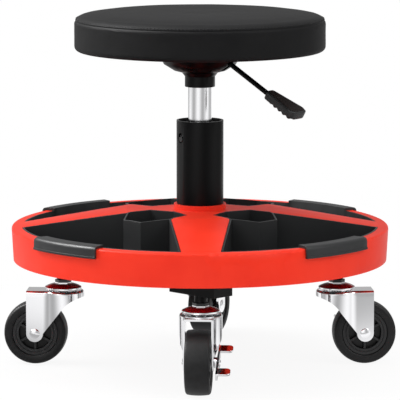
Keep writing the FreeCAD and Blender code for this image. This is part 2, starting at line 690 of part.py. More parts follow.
# Seat underside: socket on the cylinder's taper, pressed dish with pivot ears, bolts into the board
def seat_housing():
    node(ring("taper_socket", dim.cylinder_radius + dim.seat_gap, dim.socket_radius, socket_low, socket_top),
         "taper_socket")
    neck = dim.socket_radius + dim.seat_gap
    flange_low = seat_low - dim.flange_sheet
    dish = turned("dish", [
        (neck, socket_low + dim.neck_rise), (dim.dish_curl, socket_low + dim.dish_curl_rise),
        (dim.dish_floor, socket_low + dim.dish_floor_rise), (dim.dish_side, socket_low + dim.dish_side_rise),
        (dim.dish_mouth, flange_low), (dim.flange_radius, flange_low), (dim.flange_radius, seat_low),
        (dim.dish_mouth - dim.dish_sheet, seat_low),
        (dim.dish_side - dim.dish_sheet / 2, socket_low + dim.dish_side_rise + dim.dish_sheet),
        (dim.dish_floor, socket_low + dim.dish_floor_rise + dim.dish_sheet),
        (neck, socket_low + dim.dish_curl_rise + dim.dish_sheet)])
    pivot_high = socket_low + dim.pivot_rise
    ear_low = socket_low + dim.dish_floor_rise + dim.dish_sheet / 4
    ear_in = dim.lever_hub_half + dim.free_gap
    ears = []
    for side, start in (("a", ear_in), ("b", -ear_in - dim.ear_sheet)):
        ear_tall = pivot_high + dim.ear_half - ear_low
        ears.append(block("ear_" + side, dim.ear_half * 2, dim.ear_sheet, ear_tall,
                          x=dim.pivot_out - dim.ear_half, y=start, z=ear_low))
    slot_half = dim.lever_radius + dim.free_gap * 4
    slot_tall = flange_low - ear_low - dim.free_gap
    slot = block("lever_slot", dim.dish_mouth - dim.dish_floor, slot_half * 2, slot_tall,
                 x=dim.dish_floor, y=-slot_half, z=ear_low)
    pin_hole = pivot_bar("ear_hole", dim.pivot_radius + dim.seat_gap, ear_in + dim.ear_sheet * 2)
    holes = []
    bolts = []
    tees = []
    board_low = seat_low + dim.liner_height
    board_top = board_low + dim.board_height
    for turn in QUARTERS:
        hole = drum(f"flange_hole_{turn}", dim.bolt_radius + dim.seat_gap, dim.flange_sheet)
        holes.append(at_spot(hole, turn, dim.bolt_circle, flange_low))
        bolt = turned(f"bolt_{turn}", [
            (0, -dim.bolt_head_height), (dim.bolt_head_radius, -dim.bolt_head_height),
            (dim.bolt_head_radius, 0), (dim.bolt_radius, 0), (dim.bolt_radius, dim.bolt_length),
            (0, dim.bolt_length)])
        bolts.append(at_spot(bolt, turn, dim.bolt_circle, flange_low))
        tee = turned(f"tee_{turn}", [
            (dim.bolt_radius + dim.seat_gap, -dim.board_height / 2),
            (dim.barrel_radius, -dim.board_height / 2), (dim.barrel_radius, -dim.tee_height),
            (dim.tee_radius, -dim.tee_height), (dim.tee_radius, 0),
            (dim.bolt_radius + dim.seat_gap, 0)])
        tees.append(at_spot(tee, turn, dim.bolt_circle, board_top))
    node(carve("seat_housing", join("dish_eared", dish, *ears), slot, pin_hole, *holes), "seat_housing")
    place(nodes[-1], turn=dim.lever_turn)
    for group_label, group in (("housing_bolts", bolts), ("tee_nuts", tees)):
        place(gather(group_label, group), turn=dim.lever_turn)


def pivot_bar(name, radius, half):
    """A bar along the lever's pivot, before the lever is turned to its direction."""
    bar = wheel_turned(name, [(-half, 0), (half, 0), (half, radius), (-half, radius)])
    return place(bar, dim.pivot_out, 0, socket_low + dim.pivot_rise)


# Seat: plywood board, foam, a vinyl top panel sewn to a side band, and a cloth liner
def seat():
    board_low = seat_low + dim.liner_height
    board_top = board_low + dim.board_height
    edge = dim.seat_radius - dim.seat_bulge
    board_radius = edge - dim.cover_thick - dim.board_margin
    foot = edge - dim.seat_round
    tuck = foot - dim.seat_round * 2
    seam = seat_low + dim.seat_height - dim.seam_drop
    top_edge = seat_low + dim.seat_height
    corner_low = seat_low + dim.seat_round
    inner_round = dim.seat_round - dim.cover_thick
    side = seam - corner_low
    swell = (side * side / 4 + dim.seat_bulge * dim.seat_bulge) / (dim.seat_bulge * 2)
    top_flat = dim.seat_radius - dim.top_round
    crown = (top_flat * top_flat + dim.seat_crown * dim.seat_crown) / (dim.seat_crown * 2)
    thick = dim.cover_thick
    board = drum("board_blank", board_radius, dim.board_height, z=board_low)
    wells = []
    for turn in QUARTERS:
        well = turned(f"board_well_{turn}", [
            (0, -dim.board_height), (dim.barrel_radius + dim.seat_gap, -dim.board_height),
            (dim.barrel_radius + dim.seat_gap, -dim.tee_height),
            (dim.tee_radius + dim.seat_gap, -dim.tee_height), (dim.tee_radius + dim.seat_gap, 0), (0, 0)])
        wells.append(at_spot(well, turn, dim.bolt_circle, board_top))
    node(place(carve("seat_board", board, *wells), turn=dim.lever_turn), "seat_board")
    liner = ring("liner_ring", 0, tuck - dim.seat_gap, seat_low, board_low)
    passes = []
    for turn in QUARTERS:
        hole = drum(f"liner_hole_{turn}", dim.bolt_radius + dim.seat_gap, dim.liner_height)
        passes.append(at_spot(hole, turn, dim.bolt_circle, seat_low))
    node(place(carve("seat_liner", liner, *passes), turn=dim.lever_turn), "seat_liner")
    node(turned("seat_side_band", [
        (tuck, seat_low), (foot, seat_low, dim.seat_round), (edge, corner_low, swell), (edge, seam),
        (edge - thick, seam, -swell), (edge - thick, corner_low, -inner_round), (foot, board_low),
        (tuck, board_low)]), "seat_side_band")
    node(turned("seat_top_panel", [
        (edge - thick, seam), (edge, seam, dim.top_round), (top_flat, top_edge, crown),
        (0, top_edge + dim.seat_crown), (0, top_edge + dim.seat_crown - thick, -crown),
        (top_flat, top_edge - thick, -dim.top_round)]), "seat_top_panel")
    foam_edge = edge - thick - dim.free_gap
    foam_top = top_edge - thick - dim.free_gap
    node(turned("seat_foam", [
        (0, board_top), (board_radius + dim.seat_gap, board_top), (board_radius + dim.seat_gap, corner_low),
        (foam_edge, corner_low), (foam_edge, seam), (top_flat, foam_top, crown),
        (0, foam_top + dim.seat_crown)]), "seat_foam")


# Release lever: tongue over the release pin, rod out through the dish, moulded paddle
def lever():
    pivot_high = socket_low + dim.pivot_rise
    pin = pivot_bar("lever_pivot", dim.pivot_radius, dim.lever_hub_half + dim.free_gap + dim.ear_sheet)
    place(pin, dim.pivot_out * cosine(dim.lever_turn), dim.pivot_out * sine(dim.lever_turn), pivot_high,
          dim.lever_turn)
    node(pin, "lever_pivot")
    hub = pivot_bar("lever_boss", dim.lever_hub, dim.lever_hub_half)
    tongue_low = cylinder_top + dim.pin_proud + dim.free_gap
    tongue = block("lever_tongue", dim.tongue_past + dim.pivot_out, dim.tongue_half * 2, dim.tongue_thick,
                   x=-dim.tongue_past, y=-dim.tongue_half, z=tongue_low)
    rod = bent_rod("lever_bend")
    place(rod, dim.pivot_out, 0, pivot_high)
    bore = pivot_bar("lever_bore", dim.pivot_radius + dim.running_gap, dim.lever_hub_half * 2)
    arm = carve("lever_rod", join("lever_arm", tongue, hub, rod), bore)
    node(place(arm, turn=dim.lever_turn), "lever_rod")
    lean_cos = cosine(dim.paddle_slope)
    lean_sin = sine(dim.paddle_slope)
    start_high = pivot_high - dim.paddle_below

    def along(run, rise):
        """A point of the paddle's side view, from its inner end down its slope."""
        run = as_size(run)
        rise = as_size(rise)
        out = dim.paddle_out + run * lean_cos + rise * lean_sin
        return (out, start_high - run * lean_sin + rise * lean_cos)

    half = dim.paddle_thick / 2
    span = dim.paddle_length / 4
    hollow = (span * span / 4 + dim.finger_depth * dim.finger_depth) / (dim.finger_depth * 2)
    side = slab("paddle_side", "XZ_Plane", [
        along(0, -half), along(span, -half) + (-hollow,), along(span * 2, -half) + (-hollow,),
        along(span * 3, -half) + (-hollow,), along(dim.paddle_length, -half + dim.finger_depth),
        along(dim.paddle_length, dim.finger_depth), along(span * 3, half), along(0, half)],
        dim.paddle_half * 2, centred=True)
    far = dim.paddle_out + dim.paddle_length
    plan = slab("paddle_plan", "XY_Plane", [
        (dim.paddle_out - dim.paddle_half, -dim.paddle_neck), (dim.paddle_out, -dim.paddle_neck),
        (dim.paddle_out + span, -dim.paddle_half),
        (far - dim.paddle_half, -dim.paddle_half, dim.paddle_half),
        (far, 0, dim.paddle_half), (far - dim.paddle_half, dim.paddle_half),
        (dim.paddle_out + span, dim.paddle_half), (dim.paddle_out, dim.paddle_neck),
        (dim.paddle_out - dim.paddle_half, dim.paddle_neck)], socket_low * 2)
    shape = shared("paddle_shape", side, plan)
    socket = place(bent_rod("paddle_socket", dim.seat_gap), dim.pivot_out, 0, pivot_high)
    node(place(carve("lever_paddle", shape, socket), turn=dim.lever_turn), "lever_paddle")


def bent_rod(name, room=0):
    """The lever's rod: level out of its boss, then sloping down to the paddle."""
    body = doc.addObject("PartDesign::Body", name)
    path = body_sketch(body, "XZ_Plane")
    spots = [(0, 0), (dim.lever_level, 0), (dim.lever_end_out - dim.pivot_out, -dim.lever_drop)]
    points = [FreeCAD.Vector(as_size(x).number, as_size(z).number, 0) for x, z in spots]
    path.addGeometry([Part.LineSegment(points[0], points[1]), Part.LineSegment(points[1], points[2])], False)
    path.addConstraint(Sketcher.Constraint("Coincident", 0, 2, 1, 1))
    for (line, end), spot in zip(((0, 1), (0, 2), (1, 2)), spots):
        for kind, size in zip(("DistanceX", "DistanceY"), spot):
            slot = path.addConstraint(Sketcher.Constraint(kind, -1, 1, line, end, as_size(size).number))
            bind(path, f"Constraints[{slot}]", size)
    section = body_sketch(body, "YZ_Plane")
    radius = dim.lever_radius + room
    section.addGeometry(Part.Circle(FreeCAD.Vector(), FreeCAD.Vector(0, 0, 1), radius.number), False)
    section.addConstraint(Sketcher.Constraint("Coincident", 0, 3, -1, 1))
    slot = section.addConstraint(Sketcher.Constraint("Radius", 0, radius.number))
    bind(section, f"Constraints[{slot}]", radius)
    pipe = body.newObject("PartDesign::AdditivePipe", name + "_pipe")
    pipe.Profile = section
    pipe.Spine = (path, ["Edge1", "Edge2"])
    pipe.Transition = "Round corner"
    return body


# Caster stems, fixed in the legs: riveted foot, race cap over the balls, hexagon, sleeve and nut
def caster_stems():
    foot_top = dim.fork_height - dim.free_gap
    foot_low = foot_top - dim.stem_foot_height
    under_cap = race_top - dim.race_wall
    stem_top = leg_top + dim.nut_height + dim.stem_spare
    lip = dim.race_radius - dim.fork_sheet
    stems = []
    sleeves = []
    nuts = []
    balls = []
    for name, azimuth, swivel in SPOTS:
        post = turned(f"stem_post_{name}", [
            (0, foot_low), (dim.stem_foot_radius, foot_low), (dim.stem_foot_radius, foot_top),
            (dim.stem_radius, foot_top), (dim.stem_radius, under_cap), (lip - dim.race_gap, under_cap),
            (lip, race_low), (dim.race_radius, race_low),
            (dim.race_radius, race_low + dim.race_edge, dim.race_dome), (dim.race_flat, race_top),
            (dim.stem_radius, race_top), (dim.stem_radius, stem_top), (0, stem_top)])
        grip = hexagon(f"stem_hex_{name}", dim.hex_across, dim.stem_radius - dim.seat_gap, dim.hex_height)
        place(grip, z=race_top)
        stems.append(at_spot(join(f"stem_{name}", post, grip), azimuth, dim.caster_circle))
        bore = dim.stem_radius + dim.seat_gap
        sleeve = ring(f"sleeve_{name}", bore, dim.sleeve_radius, sleeve_low, pad_low)
        sleeves.append(at_spot(sleeve, azimuth, dim.caster_circle))
        nut = hexagon(f"nut_{name}", dim.hex_across, bore, dim.nut_height)
        nuts.append(at_spot(nut, azimuth, dim.caster_circle, leg_top))
        for turn in range(0, 360, 36):
            ball = doc.addObject("Part::Sphere", f"ball_{name}_{turn}")
            bind(ball, "Radius", dim.ball_radius)
            swing = math.radians(turn)
            centre = dim.caster_circle * math.cos(math.radians(azimuth)) + dim.ball_circle * math.cos(swing)
            across = dim.caster_circle * math.sin(math.radians(azimuth)) + dim.ball_circle * math.sin(swing)
            balls.append(place(ball, centre, across, fork_top + dim.ball_radius + dim.running_gap))
    gather("caster_stems", stems)
    gather("stem_sleeves", sleeves)
    gather("stem_nuts", nuts)
    gather("swivel_balls", balls)


def on_caster(item, azimuth, swivel, forward=0, height=0):
    """Set a piece in a caster's own frame: forward along its trail, turned with its swivel."""
    forward = as_size(forward)
    x = dim.caster_circle * math.cos(math.radians(azimuth)) + forward * cosine(swivel)
    y = dim.caster_circle * math.sin(math.radians(azimuth)) + forward * sine(swivel)
    return place(item, x, y, height, swivel)


def tilted(item, axis, angle, y=0, z=0):
    """Turn a tool piece about a level axis before it joins its sub-part."""
    item.Placement = FreeCAD.Placement(FreeCAD.Vector(), FreeCAD.Rotation(axis, as_size(angle).number))
    bind(item, "Placement.Base.y", y)
    bind(item, "Placement.Base.z", z)
    bind(item, "Placement.Rotation.Angle", angle)
    return item


# Forks: one steel pressing, a round head whose flanks run in to two flat legs beside the wheel
def fork_plan(name, inset, back, height):
    """The fork from above: a round head, hollow flanks and straight legs, all drawn in by an inset."""
    head = dim.fork_half - inset
    leg = dim.fork_leg_half - inset
    flank = dim.flank_round + inset
    meet_x = head * cosine(dim.flank_turn)
    meet_y = head * sine(dim.flank_turn)
    return slab(name, "XY_Plane", [
        (back, -leg), (back, leg), (dim.flank_start, leg, -flank), (meet_x, meet_y, head), (-head, 0, head),
        (meet_x, -meet_y, -flank), (dim.flank_start, -leg)], height)


def fork(name, azimuth, swivel):
    back = dim.trail + dim.leg_end_radius
    half = dim.fork_half
    outside = fork_plan(f"fork_outside_{name}", as_size(0), back, fork_top)
    inside = fork_plan(f"fork_inside_{name}", dim.fork_sheet, back * 2, dim.fork_height)
    edge = slab(f"fork_edge_{name}", "XZ_Plane", [
        (dim.trail - dim.leg_end_radius, dim.wheel_radius, dim.leg_end_radius),
        (dim.trail, dim.wheel_radius - dim.leg_end_radius, dim.leg_end_radius),
        (back, dim.wheel_radius), (back, fork_top), (-half, fork_top),
        (-half, dim.fork_height - dim.fork_skirt, -dim.sweep_round),
        (dim.leg_front_reach, dim.leg_front_height)], half * 2, centred=True)
    shell = shared(f"fork_shell_{name}", carve(f"fork_sheet_{name}", outside, inside), edge)
    pivot = drum(f"fork_pivot_{name}", dim.stem_radius + dim.running_gap, fork_top)
    bore = dim.axle_radius + dim.seat_gap
    across = wheel_turned(f"fork_bore_{name}", [(-half, 0), (half, 0), (half, bore), (-half, bore)])
    place(across, dim.trail, 0, dim.wheel_radius)
    node(on_caster(carve(f"fork_{name}", shell, pivot, across), azimuth, swivel), f"fork_{name}")


# Axles: domed bolts; where there is a brake rocker, it turns on the axle outside a shoulder
def rocker_face():
    """Inner face of a brake rocker, outside the fork's spread flank."""
    return dim.fork_leg_half + dim.rocker_stand


def axle(name, azimuth, swivel):
    left = dim.fork_leg_half + dim.seat_gap
    right = left
    head = dim.axle_head_radius
    rise = dim.axle_head_height
    shoulder = []
    if name in BRAKED:
        right = rocker_face() + dim.rocker_sheet + dim.seat_gap
        shoulder_end = rocker_face() - dim.seat_gap
        shoulder = [(shoulder_end, dim.axle_radius), (shoulder_end, head), (left, head),
                    (left, dim.axle_radius)]
    dome = (head * head + rise * rise) / (rise * 2)
    bolt = wheel_turned(f"axle_{name}", [
        (-left - rise, 0), (right + rise, 0, dome), (right, head), (right, dim.axle_radius), *shoulder,
        (-left, dim.axle_radius), (-left, head, dome)])
    node(on_caster(bolt, azimuth, swivel, dim.trail, dim.wheel_radius), f"axle_{name}")


# Wheels: moulded core with a ribbed recess on each face, and a rubber tyre
def wheel(name, azimuth, swivel):
    face = dim.tyre_width / 2 - dim.face_inset
    bed = dim.wheel_radius - dim.tyre_depth
    bore = dim.axle_radius + dim.running_gap
    rim = bed - dim.seat_gap
    disc = wheel_turned(f"wheel_disc_{name}", [
        (-dim.hub_half, bore), (dim.hub_half, bore), (dim.hub_half, dim.hub_radius),
        (dim.web_half, dim.hub_radius), (dim.web_half, dim.recess_radius), (face, dim.recess_radius),
        (face, rim), (-face, rim), (-face, dim.recess_radius), (-dim.web_half, dim.recess_radius),
        (-dim.web_half, dim.hub_radius), (-dim.hub_half, dim.hub_radius)])
    ribs = []
    count = round(dim.rib_count.number)
    for step in range(count):
        rib = slab(f"rib_{name}_{step}", "YZ_Plane", [
            (-face + dim.face_inset, -dim.rib_width / 2), (face - dim.face_inset, -dim.rib_width / 2),
            (face - dim.face_inset, dim.rib_width / 2), (-face + dim.face_inset, dim.rib_width / 2)],
            dim.recess_radius + dim.rib_width / 2)
        ribs.append(tilted(rib, FreeCAD.Vector(0, 1, 0), 360 * step / count))
    hub_room = wheel_turned(f"wheel_bore_{name}", [
        (-dim.hub_half, 0), (dim.hub_half, 0), (dim.hub_half, bore), (-dim.hub_half, bore)])
    core = carve(f"wheel_core_{name}", join(f"wheel_ribbed_{name}", disc, *ribs), hub_room)
    node(on_caster(core, azimuth, swivel, dim.trail, dim.wheel_radius), f"wheel_core_{name}")
    wide = dim.tyre_width / 2
    shoulder = dim.wheel_radius - dim.tyre_round
    tyre = wheel_turned(f"tyre_{name}", [
        (-wide, bed), (wide, bed), (wide, shoulder, dim.tyre_round),
        (wide - dim.tyre_round, dim.wheel_radius),
        (dim.tyre_round - wide, dim.wheel_radius, dim.tyre_round), (-wide, shoulder)])
    node(on_caster(tyre, azimuth, swivel, dim.trail, dim.wheel_radius), f"tyre_{name}")


# Brake rockers: stamped bars on the axle with a pedal tab at each end
def brake_rocker(name, azimuth, swivel):
    reach = dim.rocker_reach
    bar = slab(f"rocker_bar_{name}", "XZ_Plane", [
        (-reach, -dim.rocker_neck / 2), (0, -dim.rocker_depth / 2), (reach, -dim.rocker_neck / 2),
        (reach, dim.rocker_neck / 2), (0, dim.rocker_depth / 2), (-reach, dim.rocker_neck / 2)],
        dim.rocker_sheet)
    bar.Tip.Reversed = True
    tabs = []
    for side, start in (("near", -reach), ("far", reach - dim.tab_width)):
        end = start + dim.tab_width
        inset = dim.tab_length - dim.tab_round
        tab = slab(f"rocker_tab_{side}_{name}", "XY_Plane", [
            (start, 0), (end, 0), (end, inset, dim.tab_round), (end - dim.tab_round, dim.tab_length),
            (start + dim.tab_round, dim.tab_length, dim.tab_round), (start, inset)], dim.rocker_sheet)
        tabs.append(place(tab, z=dim.rocker_neck / 2 - dim.rocker_sheet))
    flat = join(f"rocker_flat_{name}", bar, *tabs)
    tilted(flat, FreeCAD.Vector(0, 1, 0), dim.rocker_tilt, rocker_face())
    hole = wheel_turned(f"rocker_hole_{name}", [
        (0, 0), (dim.fork_half * 2, 0), (dim.fork_half * 2, dim.axle_radius + dim.running_gap),
        (0, dim.axle_radius + dim.running_gap)])
    rocker = carve(f"brake_rocker_{name}", flat, hole)
    node(on_caster(rocker, azimuth, swivel, dim.trail, dim.wheel_radius), f"brake_rocker_{name}")


tray_frame()
legs()
caster_pads()
tray_screws()
bins()
column()
gas_rod()
gas_cylinder()
seat_housing()
seat()
lever()
caster_stems()
for spot in SPOTS:
    fork(*spot)
    axle(*spot)
    wheel(*spot)
    if spot[0] in BRAKED:
        brake_rocker(*spot)

doc.recompute()
for item in doc.Objects:
    if "Invalid" in item.State or "Error" in item.State:
        raise RuntimeError(f"{item.Label} failed: {item.State}")
for item in nodes:
    if item.Shape.isNull() or not item.Shape.isValid() or not item.Shape.Solids:
        raise RuntimeError(f"{item.Label} has no valid solid")

os.makedirs("parts", exist_ok=True)
for item in nodes:
    item.Shape.exportStep(os.path.join("parts", item.Label + ".step"))
    print(f"{item.Label}: {len(item.Shape.Solids)} solids, {item.Shape.Volume:.0f} mm3")
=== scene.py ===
"""Mechanic stool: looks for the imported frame, piece by piece in the order of its assembly."""
import math

import bmesh
import bpy
import numpy as np
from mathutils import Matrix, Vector


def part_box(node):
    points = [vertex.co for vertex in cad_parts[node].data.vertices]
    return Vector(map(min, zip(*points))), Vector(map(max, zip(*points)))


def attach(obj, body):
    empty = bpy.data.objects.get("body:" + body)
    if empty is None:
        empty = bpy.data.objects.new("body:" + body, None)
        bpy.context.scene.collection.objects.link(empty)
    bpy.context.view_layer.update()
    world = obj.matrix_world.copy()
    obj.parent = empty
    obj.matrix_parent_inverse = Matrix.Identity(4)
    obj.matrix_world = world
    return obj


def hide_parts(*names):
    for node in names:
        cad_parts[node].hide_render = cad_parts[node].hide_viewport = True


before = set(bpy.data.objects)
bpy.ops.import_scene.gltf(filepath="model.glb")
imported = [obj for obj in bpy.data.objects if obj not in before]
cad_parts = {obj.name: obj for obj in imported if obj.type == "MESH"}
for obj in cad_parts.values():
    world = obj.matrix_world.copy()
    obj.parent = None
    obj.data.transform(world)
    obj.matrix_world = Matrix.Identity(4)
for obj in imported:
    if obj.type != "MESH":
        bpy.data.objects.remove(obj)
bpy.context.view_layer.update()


# Steel legs: four box sections welded to the column, with flat pads that take the casters.
# They are powder coated black: a satin skin with the fine ripple of melted powder.

MM = 0.001
CORNERS = ("front", "right", "rear", "left")


def rgb(code):
    """An sRGB hex colour as linear red, green, blue and alpha."""
    parts = np.array([int(code[i:i + 2], 16) / 255 for i in (1, 3, 5)])
    linear = np.where(parts <= 0.04045, parts / 12.92, ((parts + 0.055) / 1.055) ** 2.4)
    return (*linear, 1.0)


def add(tree, kind, inputs, into=None, **settings):
    """Adds one node with its settings.

    Inputs are values or sockets, and into is the socket that the node feeds."""
    item = tree.nodes.new(kind)
    for key, value in settings.items():
        setattr(item, key, value)
    for key, value in inputs.items():
        if isinstance(value, bpy.types.NodeSocket):
            tree.links.new(value, item.inputs[key])
        else:
            item.inputs[key].default_value = value
    if into is not None:
        tree.links.new(item.outputs[0], into)
    return item


def finish_named(name, colour, roughness, metallic=0.0, gloss=0.5):
    """A new material with the values that are the same all over.

    Its node tree, its shader and the socket of its Object coordinates come with it."""
    material = bpy.data.materials.new(name)
    material.use_nodes = True
    tree = material.node_tree
    shader = tree.nodes["Principled BSDF"]
    shader.inputs["Base Color"].default_value = rgb(colour)
    shader.inputs["Roughness"].default_value = roughness
    shader.inputs["Metallic"].default_value = metallic
    shader.inputs["Specular IOR Level"].default_value = gloss
    return material, tree, shader, add(tree, "ShaderNodeTexCoord", {}).outputs["Object"]


def dress(material, *names):
    """Gives CAD nodes a finish."""
    for name in names:
        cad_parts[name].data.materials.clear()
        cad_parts[name].data.materials.append(material)


def round_edges(item, width, segments, angle):
    """Bevels an object's edges that turn by more than an angle in degrees."""
    edge = item.modifiers.new("edge", "BEVEL")
    edge.width = width
    edge.segments = segments
    edge.limit_method = "ANGLE"
    edge.angle_limit = math.radians(angle)
    edge.harden_normals = True


def soften(width, *names):
    """Rounds hard edges of CAD nodes: welds their triangles, joins the flat ones, then bevels."""
    for name in names:
        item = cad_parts[name]
        weld = item.modifiers.new("weld", "WELD")
        weld.merge_threshold = 0.005 * MM
        flat = item.modifiers.new("flat", "DECIMATE")
        flat.decimate_type = "DISSOLVE"
        flat.angle_limit = math.radians(0.5)
        round_edges(item, width, segments=3, angle=35)


powder_ripple = 1.6 * MM
powder_patch = 30 * MM
powder_coat, tree, shader, place = finish_named(
    "black_powder_coated_steel", "#060607", roughness=0.3, gloss=0.14)
ripple = add(tree, "ShaderNodeTexNoise",
             {"Vector": place, "Scale": 1 / powder_ripple, "Detail": 2.0})
add(tree, "ShaderNodeBump",
    {"Height": ripple.outputs["Fac"], "Strength": 0.12, "Distance": 0.2 * MM},
    into=shader.inputs["Normal"])
blotch = add(tree, "ShaderNodeTexNoise",
             {"Vector": place, "Scale": 1 / powder_patch, "Detail": 3.0})
add(tree, "ShaderNodeMapRange", {"Value": blotch.outputs["Fac"], "To Min": 0.24, "To Max": 0.36},
    into=shader.inputs["Roughness"])
legs = ["leg_" + corner for corner in CORNERS]
dress(powder_coat, *legs, "caster_pads")
soften(0.8 * MM, *legs, "caster_pads")


# Caster stems, sleeves and nuts: turned steel with a domed race cap and a hexagon over it.
# The cap has a chromed edge and a dome painted red as a painted reflection of the red tray above;
# the hexagon is blackened above a bright lip.
# Chrome is a mirror with a faint uneven polish. Sleeves are powder coated, and nuts zinc plated.

polish_patch = 14 * MM
chrome, tree, shader, place = finish_named(
    "chrome_plated_steel", "#FAFAFC", roughness=0.06, metallic=1.0)
polish = add(tree, "ShaderNodeTexNoise",
             {"Vector": place, "Scale": 1 / polish_patch, "Detail": 3.0})
add(tree, "ShaderNodeMapRange", {"Value": polish.outputs["Fac"], "To Min": 0.04, "To Max": 0.13},
    into=shader.inputs["Roughness"])
dress(chrome, "swivel_balls")

# Each coat on the stem is a band of heights, and so is the painted red reflection on the cap's
# dome.
# The ramp's alpha says how metallic the band is.
race_edge_top = 93.2 * MM
race_top = 97 * MM
hexagon_lip = 98.6 * MM
stem_margin = 10 * MM
stem_low, stem_high = race_edge_top - stem_margin, hexagon_lip + stem_margin
stem_span = stem_high - stem_low
bare_chrome = rgb("#FAFAFC")
# The dome's red is a painted reflection of the red tray above, set as a non-metal colour.
painted_red_reflection = (*rgb("#B01016")[:3], 0.0)
blacking = (*rgb("#0A0A0B")[:3], 0.0)
stem_finish, tree, shader, place = finish_named(
    "chromed_steel_with_painted_red_reflection", "#FAFAFC", roughness=0.14, metallic=1.0)
stem_height = add(tree, "ShaderNodeSeparateXYZ", {0: place}).outputs["Z"]
stem_share = add(tree, "ShaderNodeMapRange",
                 {"Value": stem_height, "From Min": stem_low, "From Max": stem_high})
coat_and_reflection_bands = add(tree, "ShaderNodeValToRGB", {"Fac": stem_share.outputs[0]},
            into=shader.inputs["Base Color"])
tree.links.new(coat_and_reflection_bands.outputs["Alpha"], shader.inputs["Metallic"])
bands = coat_and_reflection_bands.color_ramp
bands.interpolation = "CONSTANT"
bands.elements[0].color = bare_chrome
bands.elements[1].position = (hexagon_lip - stem_low) / stem_span
bands.elements[1].color = blacking
bands.elements.new((race_edge_top - stem_low) / stem_span).color = painted_red_reflection
bands.elements.new((race_top - stem_low) / stem_span).color = bare_chrome
brush = add(tree, "ShaderNodeTexNoise",
            {"Vector": place, "Scale": 1 / polish_patch, "Detail": 3.0})
add(tree, "ShaderNodeMapRange", {"Value": brush.outputs["Fac"], "To Min": 0.08, "To Max": 0.2},
    into=shader.inputs["Roughness"])
dress(stem_finish, "caster_stems")
soften(0.5 * MM, "caster_stems")

spangle_width = 5 * MM
zinc, tree, shader, place = finish_named(
    "zinc_plated_steel", "#B9BCC0", roughness=0.3, metallic=1.0)
spangle = add(tree, "ShaderNodeTexNoise",
              {"Vector": place, "Scale": 1 / spangle_width, "Detail": 4.0})
add(tree, "ShaderNodeMapRange", {"Value": spangle.outputs["Fac"], "To Min": 0.22, "To Max": 0.42},
    into=shader.inputs["Roughness"])
dress(zinc, "stem_nuts")
dress(powder_coat, "stem_sleeves")
soften(0.4 * MM, "stem_sleeves", "stem_nuts")


# Caster forks: one steel pressing each, a round head whose flanks run in to two flat legs beside
# the wheel. The sheet is bent down all round the head, polished and chromed, and the head's middle
# is riveted to the stem.

def skin_of(name, grid, material, wrap_rows=False, wrap_columns=True, closed=True):
    """A smooth mesh over a grid of points, or a stack of grids.

    Each cell of the grid is one quad, and the grid is joined where it wraps."""
    index = np.arange(grid.size // 3).reshape(-1, *grid.shape[-3:-1])
    index = np.concatenate([index, index[:, :1]], axis=1) if wrap_rows else index
    index = np.concatenate([index, index[:, :, :1]], axis=2) if wrap_columns else index
    quads = np.stack([index[:, :-1, :-1], index[:, :-1, 1:],
                      index[:, 1:, 1:], index[:, 1:, :-1]], axis=-1)
    mesh = bpy.data.meshes.new(name)
    mesh.from_pydata(grid.reshape(-1, 3).tolist(), [], quads.reshape(-1, 4).tolist())
    work = bmesh.new()
    work.from_mesh(mesh)
    bmesh.ops.remove_doubles(work, verts=work.verts, dist=0.001 * MM)
    if closed:
        bmesh.ops.recalc_face_normals(work, faces=work.faces)
    work.to_mesh(mesh)
    work.free()
    mesh.shade_smooth()
    mesh.materials.append(material)
    piece = bpy.data.objects.new(name, mesh)
    bpy.context.scene.collection.objects.link(piece)
    return piece


def at_caster(corner, local):
    """Points along a caster's trail, across it and up, moved to where that caster stands."""
    stem = caster_circle * compass[corner]
    ahead = np.mean(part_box("tyre_" + corner), axis=0)[:2] - stem
    ahead /= np.hypot(*ahead)
    across = np.array([-ahead[1], ahead[0]])
    flat = stem + local[..., :1] * ahead + local[..., 1:2] * across
    return np.concatenate([flat, local[..., 2:]], axis=-1)


def arc(middle, radius, turns):
    """Points on a circle in a plane: its middle, plus its radius along each turn."""
    return np.stack([np.cos(turns), np.sin(turns)], axis=-1) * radius + middle


def fork_outline(inset):
    """Half of the fork from above: a straight leg, a hollow flank arc, then the head's arc."""
    leg_x = trail + leg_end * np.sin(np.radians(np.linspace(90, -90, leg_points)))
    leg = np.stack([leg_x, np.full(leg_points, leg_half - inset)], axis=-1)
    flank = arc((flank_start, leg_half + flank_round), flank_round + inset,
                np.radians(np.linspace(-90, flank_turn - 180, flank_points)))
    head = arc((0, 0), head_radius - inset,
               np.radians(np.linspace(flank_turn, 180, head_points))[1:])
    return np.vstack([leg, flank, head])


def fork_lower_edge(x):
    """Height of the fork's lower edge along its trail.

    It is a round leg end, then a slope, then a hollow arc to the head's front."""
    end = axle_height - np.sqrt(np.maximum(leg_end ** 2 - (x - trail) ** 2, 0))
    slope_run = trail - leg_end - sweep_end[0]
    slope = axle_height + (trail - leg_end - x) * (sweep_end[1] - axle_height) / slope_run
    front = np.array([-head_radius, plate_top - sheet - skirt])
    chord = sweep_end - front
    across = np.array([-chord[1], chord[0]]) / np.hypot(*chord)
    centre_drop = math.sqrt(sweep_round ** 2 - np.dot(chord, chord) / 4)
    centre = (front + sweep_end) / 2 - across * centre_drop
    sweep = centre[1] + np.sqrt(np.maximum(sweep_round ** 2 - (x - centre[0]) ** 2, 0))
    return np.where(x > trail - leg_end, end, np.where(x > sweep_end[0], slope, sweep))


